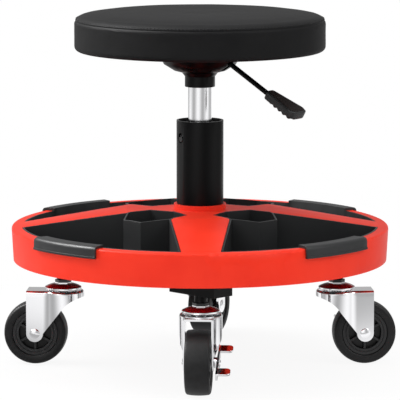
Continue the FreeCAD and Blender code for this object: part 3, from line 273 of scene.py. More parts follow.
caster_circle = 164 * MM
compass = {"front": np.array([0, -1]), "right": np.array([1, 0]), "rear": np.array([0, 1]),
           "left": np.array([-1, 0])}
trail = 33 * MM
axle_height = 38 * MM
sheet = 2.5 * MM
plate_top = 89.5 * MM
skirt = 5 * MM
head_radius = 25 * MM
leg_half = 17.6 * MM
leg_end = 10 * MM
flank_start = 22.7 * MM
flank_round = 13.5 * MM
flank_turn = 53.9
sweep_end = np.array([2, 65]) * MM
sweep_round = 36 * MM
fold = 3.2 * MM
stem_hole = 6.4 * MM
leg_points, flank_points, head_points = 33, 12, 40
plate_rows, fold_rows, wall_rows = 5, 8, 14

# The grid's rows run from the spine out over the plate, round the fold and down the wall.
outer = fork_outline(0)
spine_x = np.concatenate([outer[:leg_points, 0], np.linspace(flank_start, stem_hole, flank_points)])
spine = np.vstack([np.stack([spine_x, 0 * spine_x], axis=-1),
                   arc((0, 0), stem_hole, np.radians(np.linspace(0, 180, head_points))[1:])])
plate = [spine + part * (fork_outline(fold) - spine) for part in np.linspace(0, 1, plate_rows)]
fork_rows = [np.hstack([row, np.full((len(outer), 1), plate_top)]) for row in plate]
for bend in np.radians(np.linspace(0, 90, fold_rows))[1:]:
    drop = np.full((len(outer), 1), plate_top - fold * (1 - math.cos(bend)))
    fork_rows.append(np.hstack([fork_outline(fold * (1 - math.sin(bend))), drop]))
wall_drop = fork_lower_edge(outer[:, 0]) - plate_top + fold
for part in np.linspace(0, 1, wall_rows)[1:]:
    fork_rows.append(np.hstack([outer, (plate_top - fold + part * wall_drop)[:, None]]))
half_fork = np.array(fork_rows)
fork_grid = np.concatenate([half_fork, (half_fork * (1, -1, 1))[:, -2::-1]], axis=1)[:, ::-1]
for corner in CORNERS:
    fork = skin_of("fork_pressing_" + corner, at_caster(corner, fork_grid), chrome,
                   wrap_columns=False, closed=False)
    wall = fork.modifiers.new("sheet", "SOLIDIFY")
    wall.thickness = sheet
    wall.offset = -1
    wall.use_even_offset = True
    round_edges(fork, 0.35 * MM, segments=2, angle=50)
    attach(fork, "caster_" + corner)
    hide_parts("fork_" + corner)


# Axles and brake rockers: domed axle bolts, and stamped steel rockers with a pedal tab at each end.
# They are chromed as the forks are. Only the front and right casters have a rocker.

axles = ["axle_" + corner for corner in CORNERS]
rockers = ["brake_rocker_front", "brake_rocker_right"]
dress(chrome, *axles, *rockers)
soften(0.5 * MM, *axles, *rockers)


# Wheels: a moulded black core with a hub and six ribs in a recess on each face, and a rubber tyre
# moulded on. Rubber is dull with a bloom of dust; the core is a slightly glossier polypropylene,
# with painted shade that darkens it down in its recesses.

dust_patch = 9 * MM
rubber_tooth = 0.7 * MM
rubber, tree, shader, place = finish_named(
    "moulded_tyre_rubber", "#1A1A1B", roughness=0.5, gloss=0.3)
dust = add(tree, "ShaderNodeTexNoise",
           {"Vector": place, "Scale": 1 / dust_patch, "Detail": 5.0, "Roughness": 0.6})
tint = add(tree, "ShaderNodeValToRGB", {"Fac": dust.outputs["Fac"]},
           into=shader.inputs["Base Color"]).color_ramp
tint.elements[0].position, tint.elements[0].color = 0.35, rgb("#0E0E0F")
tint.elements[1].position, tint.elements[1].color = 0.75, rgb("#1B1B1C")
tooth = add(tree, "ShaderNodeTexNoise",
            {"Vector": place, "Scale": 1 / rubber_tooth, "Detail": 2.0})
add(tree, "ShaderNodeBump",
    {"Height": tooth.outputs["Fac"], "Strength": 0.2, "Distance": 0.1 * MM},
    into=shader.inputs["Normal"])

core_flow_mark = 12 * MM
wheel_plastic, tree, shader, place = finish_named(
    "moulded_wheel_polypropylene", "#161617", roughness=0.4, gloss=0.35)
core_flow = add(tree, "ShaderNodeTexNoise",
                {"Vector": place, "Scale": 1 / core_flow_mark, "Detail": 3.0})
add(tree, "ShaderNodeMapRange", {"Value": core_flow.outputs["Fac"], "To Min": 0.3, "To Max": 0.5},
    into=shader.inputs["Roughness"])
# The recess attribute paints shade: the colour runs from grey on the ribs to near black on the
# recess floor.
painted_recess_shade = add(tree, "ShaderNodeAttribute", {}, attribute_name="recess").outputs["Fac"]
tint = add(tree, "ShaderNodeValToRGB", {"Fac": painted_recess_shade}, into=shader.inputs["Base Color"]).color_ramp
tint.elements[0].color = rgb("#262627")
tint.elements[1].color = rgb("#020202")

tyre_half = 14.5 * MM
wheel_radius = axle_height
core_rim = 26.9 * MM
hub_radius = 11 * MM
hub_half = 13.2 * MM
web_half = 5 * MM
rib_half = 10.8 * MM
face_half = 12.6 * MM
recess_radius = 19.6 * MM
rib_count = 6
rib_side = 1.6 * MM
gap_columns = 4
bore_radius = 4.2 * MM
mould_round = 0.4 * MM
ring_radius = 23 * MM
ring_depth = 0.7 * MM


def about_axle(across, radius, turn):
    """Points in a caster's own frame, from a place on the axle, a radius and a turn about it."""
    ahead = trail + radius * np.cos(turn)
    return np.stack([ahead, across + 0 * turn, axle_height + radius * np.sin(turn)], axis=-1)


def points_of(mesh):
    """A mesh's points as an array of rows."""
    points = np.empty(len(mesh.vertices) * 3)
    mesh.vertices.foreach_get("co", points)
    return points.reshape(-1, 3)


# A core's face is a height over radius and turn: hub, recess floor with ribs, rim face with a ring
# groove. The grid's columns follow the ribs' straight sides, so each rib has one width throughout.
radii = np.concatenate([
    [bore_radius, hub_radius - 2 * mould_round, hub_radius - mould_round / 2, hub_radius],
    hub_radius + np.array([0.5, 1, 1.5]) * mould_round,
    np.linspace(hub_radius + 4 * mould_round, recess_radius - 4 * mould_round, 5),
    recess_radius + np.array([-1.5, -1, -0.5, 0, 0.5, 2]) * mould_round,
    ring_radius + np.array([-1.6, -1, -0.5, 0.5, 1, 1.6]) * mould_round,
    [core_rim - 2 * mould_round, core_rim - mould_round / 2, core_rim]])
side_steps = np.array([-1.5, -1.2, -1, -0.8, 0, 0.8, 1, 1.2, 1.5]) * rib_side
rib_mask = np.interp(np.abs(side_steps), [rib_side * 0.8, rib_side * 1.2], [1, 0])
sector = 2 * np.pi / rib_count
near_rib = np.arcsin(side_steps / radii[:, None])
gap_share = np.linspace(0, 1, gap_columns + 2)[1:-1]
between = near_rib[:, -1:] + (sector - 2 * near_rib[:, -1:]) * gap_share
one_sector = np.hstack([near_rib, between])
turns = np.hstack([one_sector + step * sector for step in range(rib_count)]) - np.pi / 2
mask = np.tile(np.concatenate([rib_mask, np.zeros(gap_columns)]), rib_count)
floor_height = np.interp(radii, [hub_radius - mould_round / 2, hub_radius + mould_round,
                                 recess_radius - mould_round, recess_radius + mould_round / 2],
                         [hub_half, web_half, web_half, face_half])
groove = ring_depth * np.clip(1.3 - np.abs(radii - ring_radius) / mould_round, 0, 1)
edge_round = np.where(radii >= core_rim, mould_round, 0)
rib_height = np.maximum(floor_height, rib_half)
face = (floor_height - groove - edge_round)[:, None] + mask * (rib_height - floor_height)[:, None]
core_grid = np.concatenate([about_axle(face, radii[:, None], turns),
                            about_axle(-face, radii[:, None], turns)[::-1]])

# A tyre's section: a flat bed, a bulged side with a moulded ring near the tread, a round corner,
# and a slightly crowned tread.
corner_round = 3.4 * MM
tread_crown = 0.8 * MM
tyre_columns = 128
tyre_side = np.array([(12.5, 27.1), (13.4, 27.3), (13.9, 28.2), (14.3, 29.6), (14.45, 31.5),
                      (14.45, 33.6), (14.2, 34.1), (14.2, 34.5)]) * MM
tread_corner = arc((tyre_half - corner_round, wheel_radius - tread_crown - corner_round),
                   corner_round, np.radians(np.linspace(0, 86, 9)))
tread_half = tread_corner[-1, 0]
tread_across = np.linspace(1, 0, 6)[1:, None] * tread_half
tread = np.hstack([tread_across, wheel_radius - tread_crown * (tread_across / tread_half) ** 2])
half_section = np.vstack([tyre_side, tread_corner, tread])
section = np.vstack([half_section, (half_section * (-1, 1))[-2::-1]])
tyre_turns = np.linspace(0, 2 * np.pi, tyre_columns, endpoint=False)
tyre_grid = about_axle(section[:, :1], section[:, 1:], tyre_turns)

# The recess attribute of a core is 0 level with the ribs and 1 on the floor of the recess.
# The core's colour darkens with it, as painted shade down in the recess.
axle_ends = np.array([(0, 0, 0), (0, 1, 0)])
for corner in CORNERS:
    core = skin_of("ribbed_core_" + corner, at_caster(corner, core_grid), wheel_plastic,
                   wrap_rows=True)
    core.data.set_sharp_from_angle(angle=math.radians(40))
    from_middle = points_of(core.data) - np.mean(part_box("wheel_core_" + corner), axis=0)
    axle_way = at_caster(corner, axle_ends[1]) - at_caster(corner, axle_ends[0])
    recess = np.clip((rib_half - np.abs(from_middle @ axle_way)) / (rib_half - web_half), 0, 1)
    core.data.attributes.new("recess", "FLOAT", "POINT").data.foreach_set("value", recess)
    tyre = skin_of("rubber_tyre_" + corner, at_caster(corner, tyre_grid), rubber, wrap_rows=True)
    tyre.data.set_sharp_from_angle(angle=math.radians(50))
    for piece, slot, node in ((core, "black_moulding", "wheel_core_"),
                              (tyre, "tyre_rubber", "tyre_")):
        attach(piece, "wheel_" + corner)
        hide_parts(node + corner)


# Tray frame: one red moulding with a rim, four spokes over the legs and a raised hub round the
# column. Moulded polypropylene has a satin skin with a fine grain, and faint flow marks.

flow_mark = 60 * MM
red_grain = 1.1 * MM
red_moulding, tree, shader, place = finish_named(
    "red_moulded_polypropylene", "#EA2F1B", roughness=0.45, gloss=0.16)
flow = add(tree, "ShaderNodeTexNoise", {"Vector": place, "Scale": 1 / flow_mark, "Detail": 4.0})
tint = add(tree, "ShaderNodeValToRGB", {"Fac": flow.outputs["Fac"]},
           into=shader.inputs["Base Color"]).color_ramp
tint.elements[0].position, tint.elements[0].color = 0.3, rgb("#EC2E18")
tint.elements[1].position, tint.elements[1].color = 0.75, rgb("#F43820")
skin = add(tree, "ShaderNodeTexNoise", {"Vector": place, "Scale": 1 / red_grain, "Detail": 2.0})
add(tree, "ShaderNodeBump",
    {"Height": skin.outputs["Fac"], "Strength": 0.08, "Distance": 0.1 * MM},
    into=shader.inputs["Normal"])
dress(red_moulding, "tray_frame")
dress(zinc, "tray_screws")
soften(0.9 * MM, "tray_frame")


# Bins: four black mouldings that drop between the spokes, each with a cup in its inner corner.
# Their handles hook over the rim. The plastic is charcoal, with a fine moulded texture.

bin_grain = 0.9 * MM
scuff_patch = 35 * MM
bin_plastic, tree, shader, place = finish_named(
    "charcoal_moulded_polypropylene", "#212223", roughness=0.45, gloss=0.38)
grain = add(tree, "ShaderNodeTexNoise", {"Vector": place, "Scale": 1 / bin_grain, "Detail": 2.0})
add(tree, "ShaderNodeBump",
    {"Height": grain.outputs["Fac"], "Strength": 0.07, "Distance": 0.1 * MM},
    into=shader.inputs["Normal"])
scuff = add(tree, "ShaderNodeTexNoise",
            {"Vector": place, "Scale": 1 / scuff_patch, "Detail": 5.0})
add(tree, "ShaderNodeMapRange", {"Value": scuff.outputs["Fac"], "To Min": 0.36, "To Max": 0.54},
    into=shader.inputs["Roughness"])
bins = [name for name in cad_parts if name.startswith("bin_")]
dress(bin_plastic, *bins)
soften(0.6 * MM, *bins)


# Column: a steel tube with a base plate and a moulded bush, whose snap stud shows in a window of
# the tube. The tube is powder coated as the legs are, and the bush is bare black plastic.

dress(powder_coat, "column_tube", "column_base_plate")
dress(bin_plastic, "column_bush", "bush_stud")
soften(0.5 * MM, "column_tube", "bush_stud")


# Gas lift: a chromed cylinder that slides in the bush, on a piston rod that stands on a ball thrust
# bearing. The cylinder and rod are ground round and hard chromed, so that fine rings soften what
# they mirror.

ring_run = 24 * MM
ring_squeeze = 30
ground_chrome, tree, shader, place = finish_named(
    "ground_hard_chromed_steel", "#FAFAFC", roughness=0.18, metallic=1.0)
grind = add(tree, "ShaderNodeMapping", {"Vector": place, "Scale": (1, 1, ring_squeeze)}).outputs[0]
rings = add(tree, "ShaderNodeTexNoise", {"Vector": grind, "Scale": 1 / ring_run, "Detail": 3.0})
add(tree, "ShaderNodeMapRange", {"Value": rings.outputs["Fac"], "To Min": 0.16, "To Max": 0.2},
    into=shader.inputs["Roughness"])
dress(ground_chrome, "gas_cylinder", "piston_rod")
dress(zinc, "gas_piston", "rod_clip", "thrust_collar", "thrust_washer", "thrust_balls",
      "cylinder_guide", "release_pin")
soften(0.4 * MM, "gas_cylinder")


# Seat housing: a pressed steel dish welded to the taper socket and bolted up into the seat board.
# It has the same black powder coat, and its bolts are zinc plated.

dress(powder_coat, "taper_socket", "seat_housing", "lever_pivot")
dress(zinc, "housing_bolts", "tee_nuts")
soften(0.6 * MM, "taper_socket", "seat_housing")


# Seat board and liner: a plywood disc bolted to the housing, with a black cloth liner stapled under
# it. Both are hidden from the side. The ply has a birch face with long grain, and the liner a
# felted surface.

grain_run = 40 * MM
grain_squeeze = 12
birch, tree, shader, place = finish_named("birch_plywood", "#C9A878", roughness=0.6)
lengthwise = add(tree, "ShaderNodeMapping",
                 {"Vector": place, "Scale": (1, grain_squeeze, 1)}).outputs[0]
figure = add(tree, "ShaderNodeTexNoise",
             {"Vector": lengthwise, "Scale": 1 / grain_run, "Detail": 5.0})
tint = add(tree, "ShaderNodeValToRGB", {"Fac": figure.outputs["Fac"]},
           into=shader.inputs["Base Color"]).color_ramp
tint.elements[0].color = rgb("#A9875A")
tint.elements[1].color = rgb("#D9BC8E")
dress(birch, "seat_board")

fibre_clump = 1.2 * MM
felt, tree, shader, place = finish_named("black_felted_liner_cloth", "#151515", roughness=0.9)
shader.inputs["Sheen Weight"].default_value = 0.3
fibre = add(tree, "ShaderNodeTexNoise",
            {"Vector": place, "Scale": 1 / fibre_clump, "Detail": 4.0})
tint = add(tree, "ShaderNodeValToRGB", {"Fac": fibre.outputs["Fac"]},
           into=shader.inputs["Base Color"]).color_ramp
tint.elements[0].color = rgb("#0E0E0E")
tint.elements[1].color = rgb("#222223")
add(tree, "ShaderNodeBump",
    {"Height": fibre.outputs["Fac"], "Strength": 0.4, "Distance": 0.3 * MM},
    into=shader.inputs["Normal"])
dress(felt, "seat_liner")


# Seat cushion: a foam pad under a vinyl cover of two panels, a round top and a side band, sewn
# together. The band is drawn under the board's edge and stapled. The foam presses the cover out
# between its seams, which a cloth simulation works out with the seam, tuck and board side held.

def turned_grid(profile, count):
    """A profile of radius and height carried round the vertical axis, one row per profile point."""
    turn = np.linspace(0, 2 * np.pi, count, endpoint=False)
    radius, height = profile[:, :1], profile[:, 1:]
    return np.stack([radius * np.cos(turn), radius * np.sin(turn), height + 0 * turn], axis=-1)


def even_steps(points, step):
    """The same polyline with a point about every step along it, its own corners kept."""
    counts = [max(2, int(np.ceil(np.hypot(*(b - a)) / step)) + 1)
              for a, b in zip(points[:-1], points[1:])]
    runs = [np.linspace(0, 1, count)[:-1, None] * (b - a) + a
            for count, a, b in zip(counts, points[:-1], points[1:])]
    return np.vstack(runs + [points[-1:]])


band_low, band_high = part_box("seat_side_band")
board_low, board_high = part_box("seat_board")
swell_room = 1.3 * MM
seam_height = band_high[2]
under_height = band_low[2]
seam_radius = band_high[0] - swell_room
crown_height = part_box("seat_top_panel")[1][2] - swell_room
edge_height = seam_height + 7 * MM
shoulder_round = 14 * MM
band_round = 6 * MM
band_turn = math.radians(32)
seam_depth = 1.1 * MM
seam_lip = 0.9 * MM
tuck_round = 6 * MM
board_room = 0.3 * MM
cushion_step = 4 * MM
cushion_columns = 180
swell_most = 2.2 * MM
calm_radius = 40 * MM
cloth_frames = 20

# The cut shape's profile: crown, shoulder, seam, lip, band and tuck, then up and in over the board.
seam_turn = math.asin((seam_height + seam_lip - edge_height + shoulder_round) / shoulder_round)
lip_radius = seam_radius - band_round * (1 - math.cos(band_turn))
rim_radius = lip_radius - shoulder_round * math.cos(seam_turn)
out = np.linspace(0, 1, 36)[:-1, None]
crown = np.hstack([out * rim_radius, crown_height - (crown_height - edge_height) * out ** 2])
shoulder = arc((rim_radius, edge_height - shoulder_round), shoulder_round,
               np.linspace(np.pi / 2, seam_turn, 8))
seam = np.array([(lip_radius - seam_depth, seam_height)])
band_top = seam_height - seam_lip - band_round * math.sin(band_turn)
lip = arc((seam_radius - band_round, band_top), band_round, np.linspace(band_turn, 0, 5)[:-1])
band_foot = under_height + tuck_round
band = even_steps(np.array([(seam_radius, band_top), (seam_radius, band_foot)]), cushion_step)
tuck = arc((seam_radius - tuck_round, band_foot), tuck_round,
           np.radians(np.linspace(0, -90, 7))[1:])
tuck_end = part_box("seat_liner")[1][0] + board_room
board_edge = board_high[0] + board_room
board_under, board_over = board_low[2] - board_room, board_high[2] + board_room
inside = np.array([(tuck_end, under_height), (tuck_end, board_under), (board_edge, board_under),
                   (board_edge, board_over), (0, board_over)])
profile = np.vstack([crown, shoulder, seam, lip, band, tuck, even_steps(inside, cushion_step)])

# Embossed vinyl: pebbles with fine creases between them, drawn a little coarse so that they show.
# The skin is a dull black with a soft shine, a little duller and lighter in worn patches.
pebble_width = 2 * MM
crease_width = 0.9 * MM
wear_patch = 45 * MM
vinyl, tree, shader, place = finish_named(
    "black_embossed_vinyl", "#101011", roughness=0.6, gloss=0.15)
pebble = add(tree, "ShaderNodeTexVoronoi", {"Vector": place, "Scale": 1 / pebble_width},
             feature="DISTANCE_TO_EDGE")
crease = add(tree, "ShaderNodeTexNoise",
             {"Vector": place, "Scale": 1 / crease_width, "Detail": 3.0})
relief = add(tree, "ShaderNodeMath",
             {0: pebble.outputs["Distance"], 1: crease.outputs["Fac"]}, operation="ADD")
add(tree, "ShaderNodeBump", {"Height": relief.outputs[0], "Strength": 0.3, "Distance": 0.2 * MM},
    into=shader.inputs["Normal"])
wear = add(tree, "ShaderNodeTexNoise", {"Vector": place, "Scale": 1 / wear_patch, "Detail": 4.0})
add(tree, "ShaderNodeMapRange", {"Value": wear.outputs["Fac"], "To Min": 0.56, "To Max": 0.68},
    into=shader.inputs["Roughness"])
tint = add(tree, "ShaderNodeValToRGB", {"Fac": wear.outputs["Fac"]},
           into=shader.inputs["Base Color"]).color_ramp
tint.elements[0].position, tint.elements[0].color = 0.3, rgb("#0C0C0D")
tint.elements[1].position, tint.elements[1].color = 0.8, rgb("#131314")

cushion = skin_of("seat_cushion", turned_grid(profile, cushion_columns), vinyl)
cut = points_of(cushion.data)
cut_reach = np.hypot(cut[:, 0], cut[:, 1])
near_seam = np.abs(cut[:, 2] - seam_height) < 1.1 * seam_lip
at_seam = near_seam & (cut_reach > lip_radius - 1.5 * seam_depth)
at_board = (cut_reach < board_edge + board_room) & (cut[:, 2] < board_over + board_room)
at_tuck = cut[:, 2] < under_height + tuck_round / 3
sewn = cut
held = cushion.vertex_groups.new(name="held")
held.add(np.flatnonzero(at_seam | at_board | at_tuck).tolist(), 1.0, "REPLACE")
foam = cushion.modifiers.new("foam", "CLOTH")
foam.settings.use_pressure = True
foam.settings.uniform_pressure_force = 3
foam.settings.effector_weights.gravity = 0
foam.settings.tension_stiffness = 40
foam.settings.compression_stiffness = 3
foam.settings.shear_stiffness = 20
foam.settings.bending_stiffness = 80
foam.settings.vertex_group_mass = held.name
foam.point_cache.frame_end = cloth_frames
for step in range(1, cloth_frames + 1):
    bpy.context.scene.frame_set(step)
pressed = cushion.evaluated_get(bpy.context.evaluated_depsgraph_get())
swell = points_of(pressed.data) - cut
# Near the middle of the crown, where the grid's columns meet, the swell is evened out.
on_top = cut[:, 2] > seam_height
calm = np.clip(cut_reach / calm_radius, 0, 1)[:, None] ** 2
even = swell[on_top & (np.abs(cut_reach - calm_radius) < cushion_step)].mean(axis=0)
swell = np.where(on_top[:, None], even + calm * (swell - even), swell)
cushion.modifiers.remove(foam)
cushion.vertex_groups.remove(held)
bpy.context.scene.frame_set(1)
length = np.linalg.norm(swell, axis=1, keepdims=True)
sewn = cut + swell * swell_most * np.tanh(length / swell_most) / np.maximum(length, 1e-9)
cushion.data.vertices.foreach_set("co", sewn.ravel())
cushion.data.update()
fine = cushion.modifiers.new("fine", "SUBSURF")
fine.levels = 1
fine.render_levels = 1
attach(cushion, "seat")
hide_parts("seat_foam", "seat_top_panel", "seat_side_band")


# Top stitching: one row of black thread beside the seam, which holds the seam's turned edges flat.
# Each stitch is a short twisted thread that dips into the vinyl at both ends.

stitch_pitch = 4.2 * MM
stitch_length = 2.9 * MM
thread_radius = 0.55 * MM
thread_lift = 0.3 * MM
row_lean = math.radians(45)
row_start = shoulder[-2]
beside = np.hypot(cut_reach - row_start[0], cut[:, 2] - row_start[1]) < 0.01 * MM
row = sewn[beside]
row_radius = np.hypot(row[:, 0], row[:, 1]).mean()
row_height = row[:, 2].mean()
stitch_count = int(2 * np.pi * row_radius / stitch_pitch)
middle_turn = np.linspace(0, 2 * np.pi, stitch_count, endpoint=False)[:, None, None]
along = np.linspace(0, 1, 7)[:, None]
girth = np.linspace(0, 2 * np.pi, 6, endpoint=False)
thick = thread_radius * np.sqrt(np.sin(np.pi * along))
lift = thread_lift * np.sin(np.pi * along) - thread_radius / 2
off_vinyl, up_vinyl = lift + thick * np.cos(girth), thick * np.sin(girth)
turn = middle_turn + (along - 0.5) * stitch_length / row_radius
radius = row_radius + off_vinyl * math.cos(row_lean) - up_vinyl * math.sin(row_lean)
height = row_height + off_vinyl * math.sin(row_lean) + up_vinyl * math.cos(row_lean)
stitches = np.stack(
    np.broadcast_arrays(radius * np.cos(turn), radius * np.sin(turn), height), axis=-1)

thread_twist = 0.4 * MM
thread, tree, shader, place = finish_named(
    "black_polyester_thread", "#0B0B0C", roughness=0.5, gloss=0.2)
twist = add(tree, "ShaderNodeTexNoise",
            {"Vector": place, "Scale": 1 / thread_twist, "Detail": 2.0})
add(tree, "ShaderNodeBump",
    {"Height": twist.outputs["Fac"], "Strength": 0.4, "Distance": 0.1 * MM},
    into=shader.inputs["Normal"])
stitching = skin_of("top_stitching", stitches, thread)
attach(stitching, "seat")


# Release lever: a bent steel rod from the gas lift's valve, powder coated, with a moulded paddle on
# its end. The paddle widens from the rod to a blunt end, has finger ripples under it, and a pad let
# in on top whose dark brown-black colour is painted shade from the seat above it.

dress(powder_coat, "lever_rod")

pivot = np.mean(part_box("lever_pivot"), axis=0)
lever_turn = math.atan2(pivot[1], pivot[0])
paddle_out = 97 * MM
paddle_below = 35.2 * MM
paddle_slope = math.radians(27.6)
paddle_length = 50 * MM
paddle_rise = 5.3 * MM
paddle_wide = 15.3 * MM
paddle_neck = 5.6 * MM
paddle_corner = 7 * MM
cut_length = 4 * MM
cut_half = 8 * MM
flank_length = 40 * MM
paddle_columns = 48
ripple_pitch = 8 * MM
ripple_depth = 0.9 * MM
ripple_start = 10 * MM
ripple_full = 18 * MM
end_round = 1.2 * MM
pad_margin = 1.7 * MM
pad_proud = 0.25 * MM
pad_rows = 50


def on_paddle(along, across, rise):
    """Points down the paddle's slope, across it and out of its top, turned as the lever points."""
    radius = paddle_out + along * math.cos(paddle_slope) + rise * math.sin(paddle_slope)
    drop = paddle_below + along * math.sin(paddle_slope) - rise * math.cos(paddle_slope)
    x = radius * math.cos(lever_turn) - across * math.sin(lever_turn)
    y = radius * math.sin(lever_turn) + across * math.cos(lever_turn)
    return np.stack(np.broadcast_arrays(x, y, pivot[2] - drop), axis=-1)


def paddle_half(along, inset):
    """Half width of the paddle: cut corners at the rod, flanks that open, round outer corners."""
    flank = np.interp(along, [0, cut_length, flank_length, paddle_length],
                      [paddle_neck, cut_half, paddle_wide, paddle_wide])
    past = np.clip(along - (paddle_length - inset - paddle_corner), 0, paddle_corner)
    return flank - inset - paddle_corner + np.sqrt(paddle_corner ** 2 - past ** 2)


def slab_grid(along, half, top, foot, power):
    """Sections across the paddle: superellipses from foot to top, and a pole in each end's middle.

    The power of the cosine and sine squares the section up: 1 is an ellipse, 0 a rectangle."""
    turn = np.linspace(0, 2 * np.pi, paddle_columns, endpoint=False)
    across = np.sign(np.cos(turn)) * np.abs(np.cos(turn)) ** power
    rise = (1 + np.sign(np.sin(turn)) * np.abs(np.sin(turn)) ** power) / 2
    rows = on_paddle(along[:, None], half[:, None] * across,
                     foot[:, None] + (top - foot)[:, None] * rise)
    ends = [np.broadcast_to(rows[end].mean(axis=0), rows[:1].shape) for end in (0, -1)]
    return np.concatenate([ends[0], rows, ends[1]])


blade_steps = np.concatenate([np.linspace(0, 6, 7), np.linspace(8, 42, 35),
                              np.linspace(43, 50, 13)]) * MM
near_end = np.clip(np.minimum(blade_steps, paddle_length - blade_steps), 0, end_round)
pull = end_round - np.sqrt(end_round ** 2 - (end_round - near_end) ** 2)
finger_ripple = (ripple_depth * np.cos(2 * np.pi * blade_steps / ripple_pitch)
                 * np.interp(blade_steps, [ripple_start, ripple_full], [0, 1]))
blade_grid = slab_grid(blade_steps, paddle_half(blade_steps, 0) - pull, paddle_rise - pull,
                       finger_ripple - paddle_rise + pull, power=0.3)
blade = skin_of("paddle_blade", blade_grid, bin_plastic)
blade.data.set_sharp_from_angle(angle=math.radians(60))

# The pad is a dull, fine grained rubber so that a finger doesn't slip; its brown-black colour,
# darker than the blade, is painted shade from the seat above it.
pad_grit = 1.1 * MM
pad_rubber_painted_shade, tree, shader, place = finish_named(
    "pad_rubber_with_painted_shade", "#150D0B", roughness=0.62, gloss=0.2)
grit = add(tree, "ShaderNodeTexNoise", {"Vector": place, "Scale": 1 / pad_grit, "Detail": 3.0})
add(tree, "ShaderNodeBump",
    {"Height": grit.outputs["Fac"], "Strength": 0.3, "Distance": 0.15 * MM},
    into=shader.inputs["Normal"])
# The brown-black ramp is painted shade, darker than the blade beside it.
tint = add(tree, "ShaderNodeValToRGB", {"Fac": grit.outputs["Fac"]},
           into=shader.inputs["Base Color"]).color_ramp
tint.elements[0].position, tint.elements[0].color = 0.3, rgb("#120A08")
tint.elements[1].position, tint.elements[1].color = 0.7, rgb("#1B110F")

pad_steps = np.linspace(0, 1, pad_rows) * (paddle_length - 2 * pad_margin) + pad_margin
paddle_top = np.full(pad_rows, paddle_rise)
pad_grid = slab_grid(pad_steps, paddle_half(pad_steps, pad_margin), paddle_top + pad_proud,
                     paddle_top - 4 * pad_proud, power=0.2)
pad = skin_of("paddle_pad", pad_grid, pad_rubber_painted_shade)
pad.data.set_sharp_from_angle(angle=math.radians(50))
for piece in (blade, pad):
    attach(piece, "lever")
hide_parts("lever_paddle")


# Floor: a wide pale sheet. Close to the stool, part of what the camera sees is its lit surface with
# soft shadows, and further out it passes into the white of the surround. Metal sees it white too,
# with grey wedges to four sides, as of the dark flags that a studio sets up to give chrome bands.

floor_half = 12.0
floor_drop = 0.2 * MM
fade_start = 0.2
fade_end = 0.6
white_near = 0.92
flag_count = 4.0
flag_turn = math.radians(-92)
flag_shade = 0.58


def seen_by(tree, way):
    """Sockets for a ray seen by the camera, one seen in a mirror, and how clear of flags it is.

    Clearness is the cosine of four times the turn about the axis: -1 on a flag, 1 midway."""
    path = add(tree, "ShaderNodeLightPath", {}).outputs
    mirrored = add(tree, "ShaderNodeMath",
                   {0: path["Is Glossy Ray"], 1: path["Is Transmission Ray"]}, operation="MAXIMUM")
    bearing = add(tree, "ShaderNodeMath", {0: way["X"], 1: way["Y"]}, operation="ARCTAN2")
    wedge = add(tree, "ShaderNodeMath", {0: bearing.outputs[0], 1: flag_count, 2: flag_turn},
                operation="MULTIPLY_ADD")
    clearness = add(tree, "ShaderNodeMath", {0: wedge.outputs[0]}, operation="COSINE")
    return path["Is Camera Ray"], mirrored.outputs[0], clearness.outputs[0]


floor_grid = np.array([[(x, y, -floor_drop) for x in (-floor_half, floor_half)]
                       for y in (-floor_half, floor_half)])
floor_white, tree, shader, place = finish_named("pale_floor", "#F4F4F4", roughness=0.9, gloss=0.1)
from_axis = add(tree, "ShaderNodeVectorMath", {0: place}, operation="LENGTH").outputs["Value"]
fade = add(tree, "ShaderNodeMapRange",
           {"Value": from_axis, "From Min": fade_start, "From Max": fade_end,
            "To Min": white_near})
camera_ray, mirrored, clearness = seen_by(
    tree, add(tree, "ShaderNodeSeparateXYZ", {0: place}).outputs)
in_view = add(tree, "ShaderNodeMath", {0: camera_ray, 1: fade.outputs[0]}, operation="MULTIPLY")
white_share = add(tree, "ShaderNodeMath", {0: in_view.outputs[0], 1: mirrored},
                  operation="MAXIMUM")
flagged = add(tree, "ShaderNodeMapRange",
              {"Value": clearness, "From Min": -1.0, "To Min": flag_shade, "To Max": 0.0})
less = add(tree, "ShaderNodeMath", {0: mirrored, 1: flagged.outputs[0]}, operation="MULTIPLY")
glow_level = add(tree, "ShaderNodeMath", {0: 1.0, 1: less.outputs[0]}, operation="SUBTRACT")
glow = add(tree, "ShaderNodeEmission",
           {"Color": rgb("#FFFFFF"), "Strength": glow_level.outputs[0]})
add(tree, "ShaderNodeMixShader",
    {0: white_share.outputs[0], 1: shader.outputs[0], 2: glow.outputs[0]},
    into=tree.nodes["Material Output"].inputs["Surface"])
floor = skin_of("floor", floor_grid, floor_white, wrap_columns=False, closed=False)


# Studio: a white surround, which metal mirrors too, with the same flags standing in it.
# A large soft lamp stands on the left, with one by it that shows in shiny surfaces only. Weaker
# ones stand in front and on the right, and one hangs above.

def aim(spot, target):
    """The turn that points a lamp or camera from its spot at a target."""
    return (Vector(target) - Vector(spot)).to_track_quat("-Z", "Y").to_euler()


def lamp(name, spot, size, level, sheen_only=False):
    """A square soft lamp that faces the stool.

    Its level is how bright it makes a white surface turned to it. One for sheen only is seen in
    shiny surfaces and lights nothing else."""
    data = bpy.data.lights.new(name, "AREA")
    data.size = size
    data.energy = level * np.pi ** 2 * np.sum((np.array(spot) - stool_middle) ** 2)
    item = bpy.data.objects.new(name, data)
    item.location = spot
    item.rotation_euler = aim(spot, stool_middle)
    item.visible_diffuse = not sheen_only
    bpy.context.scene.collection.objects.link(item)


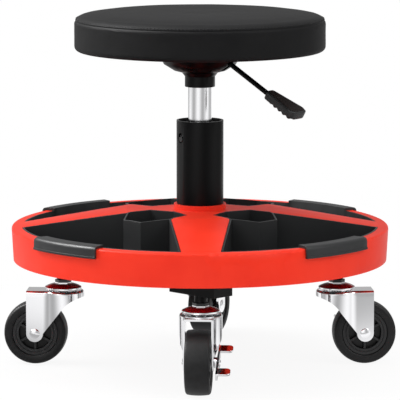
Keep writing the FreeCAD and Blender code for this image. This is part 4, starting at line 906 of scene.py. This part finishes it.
stool_middle = np.array([0, 0, 0.22])
back_shade = 0.1
ambient_level = 0.42
world = bpy.data.worlds.new("studio")
world.use_nodes = True
tree = world.node_tree
tree.nodes.clear()
direction = add(tree, "ShaderNodeTexCoord", {}).outputs["Generated"]
way = add(tree, "ShaderNodeSeparateXYZ", {0: direction}).outputs
camera_ray, mirrored, clearness = seen_by(tree, way)
clear = add(tree, "ShaderNodeMapRange", {"Value": clearness, "From Min": -1.0})
back = add(tree, "ShaderNodeMapRange", {"Value": way["Y"], "To Min": 1.0, "To Max": back_shade})
in_back = add(tree, "ShaderNodeMath", {0: mirrored, 1: back.outputs[0]}, operation="MULTIPLY")
in_mirror = add(tree, "ShaderNodeMath", {0: in_back.outputs[0], 1: clear.outputs[0]},
                operation="MULTIPLY")
shown = add(tree, "ShaderNodeMath", {0: in_mirror.outputs[0], 1: camera_ray}, operation="MAXIMUM")
ambient = add(tree, "ShaderNodeBackground", {"Color": rgb("#FFFFFF"), "Strength": ambient_level})
white = add(tree, "ShaderNodeBackground", {"Color": rgb("#FFFFFF"), "Strength": 1.0})
surround = add(tree, "ShaderNodeMixShader",
               {0: shown.outputs[0], 1: ambient.outputs[0], 2: white.outputs[0]})
add(tree, "ShaderNodeOutputWorld", {"Surface": surround.outputs[0]})
bpy.context.scene.world = world
lamp("key_left", (-2.3, 0.15, 2.4), size=1.5, level=0.77)
lamp("sheen_left", (-2.2, 0.3, 2.4), size=1.0, level=1.5, sheen_only=True)
lamp("fill_front", (-1.2, -3.0, 2.0), size=2.0, level=0.11)
lamp("fill_right", (2.1, -1.4, 2.4), size=1.6, level=0.27)
lamp("top", (0.1, -0.2, 3.0), size=2.2, level=0.38)


# Camera: far in front of the stool with a long lens, 20 mm to the left of its axis and a little
# above it, aimed at the axis as the photograph was taken.

aim_height = 0.1975
camera_rise = math.radians(8.13)
camera_side = math.radians(0.3)
camera_reach = 4.0
level_reach = camera_reach * math.cos(camera_rise)
camera_data = bpy.data.cameras.new("camera")
camera_data.sensor_width = 36
camera_data.lens = 301.2
camera = bpy.data.objects.new("camera", camera_data)
camera.location = (-level_reach * math.sin(camera_side), -level_reach * math.cos(camera_side),
                   aim_height + camera_reach * math.sin(camera_rise))
camera.rotation_euler = aim(camera.location, (0, 0, aim_height))
bpy.context.scene.collection.objects.link(camera)
bpy.context.scene.camera = camera
bpy.context.scene.view_settings.view_transform = "Standard"
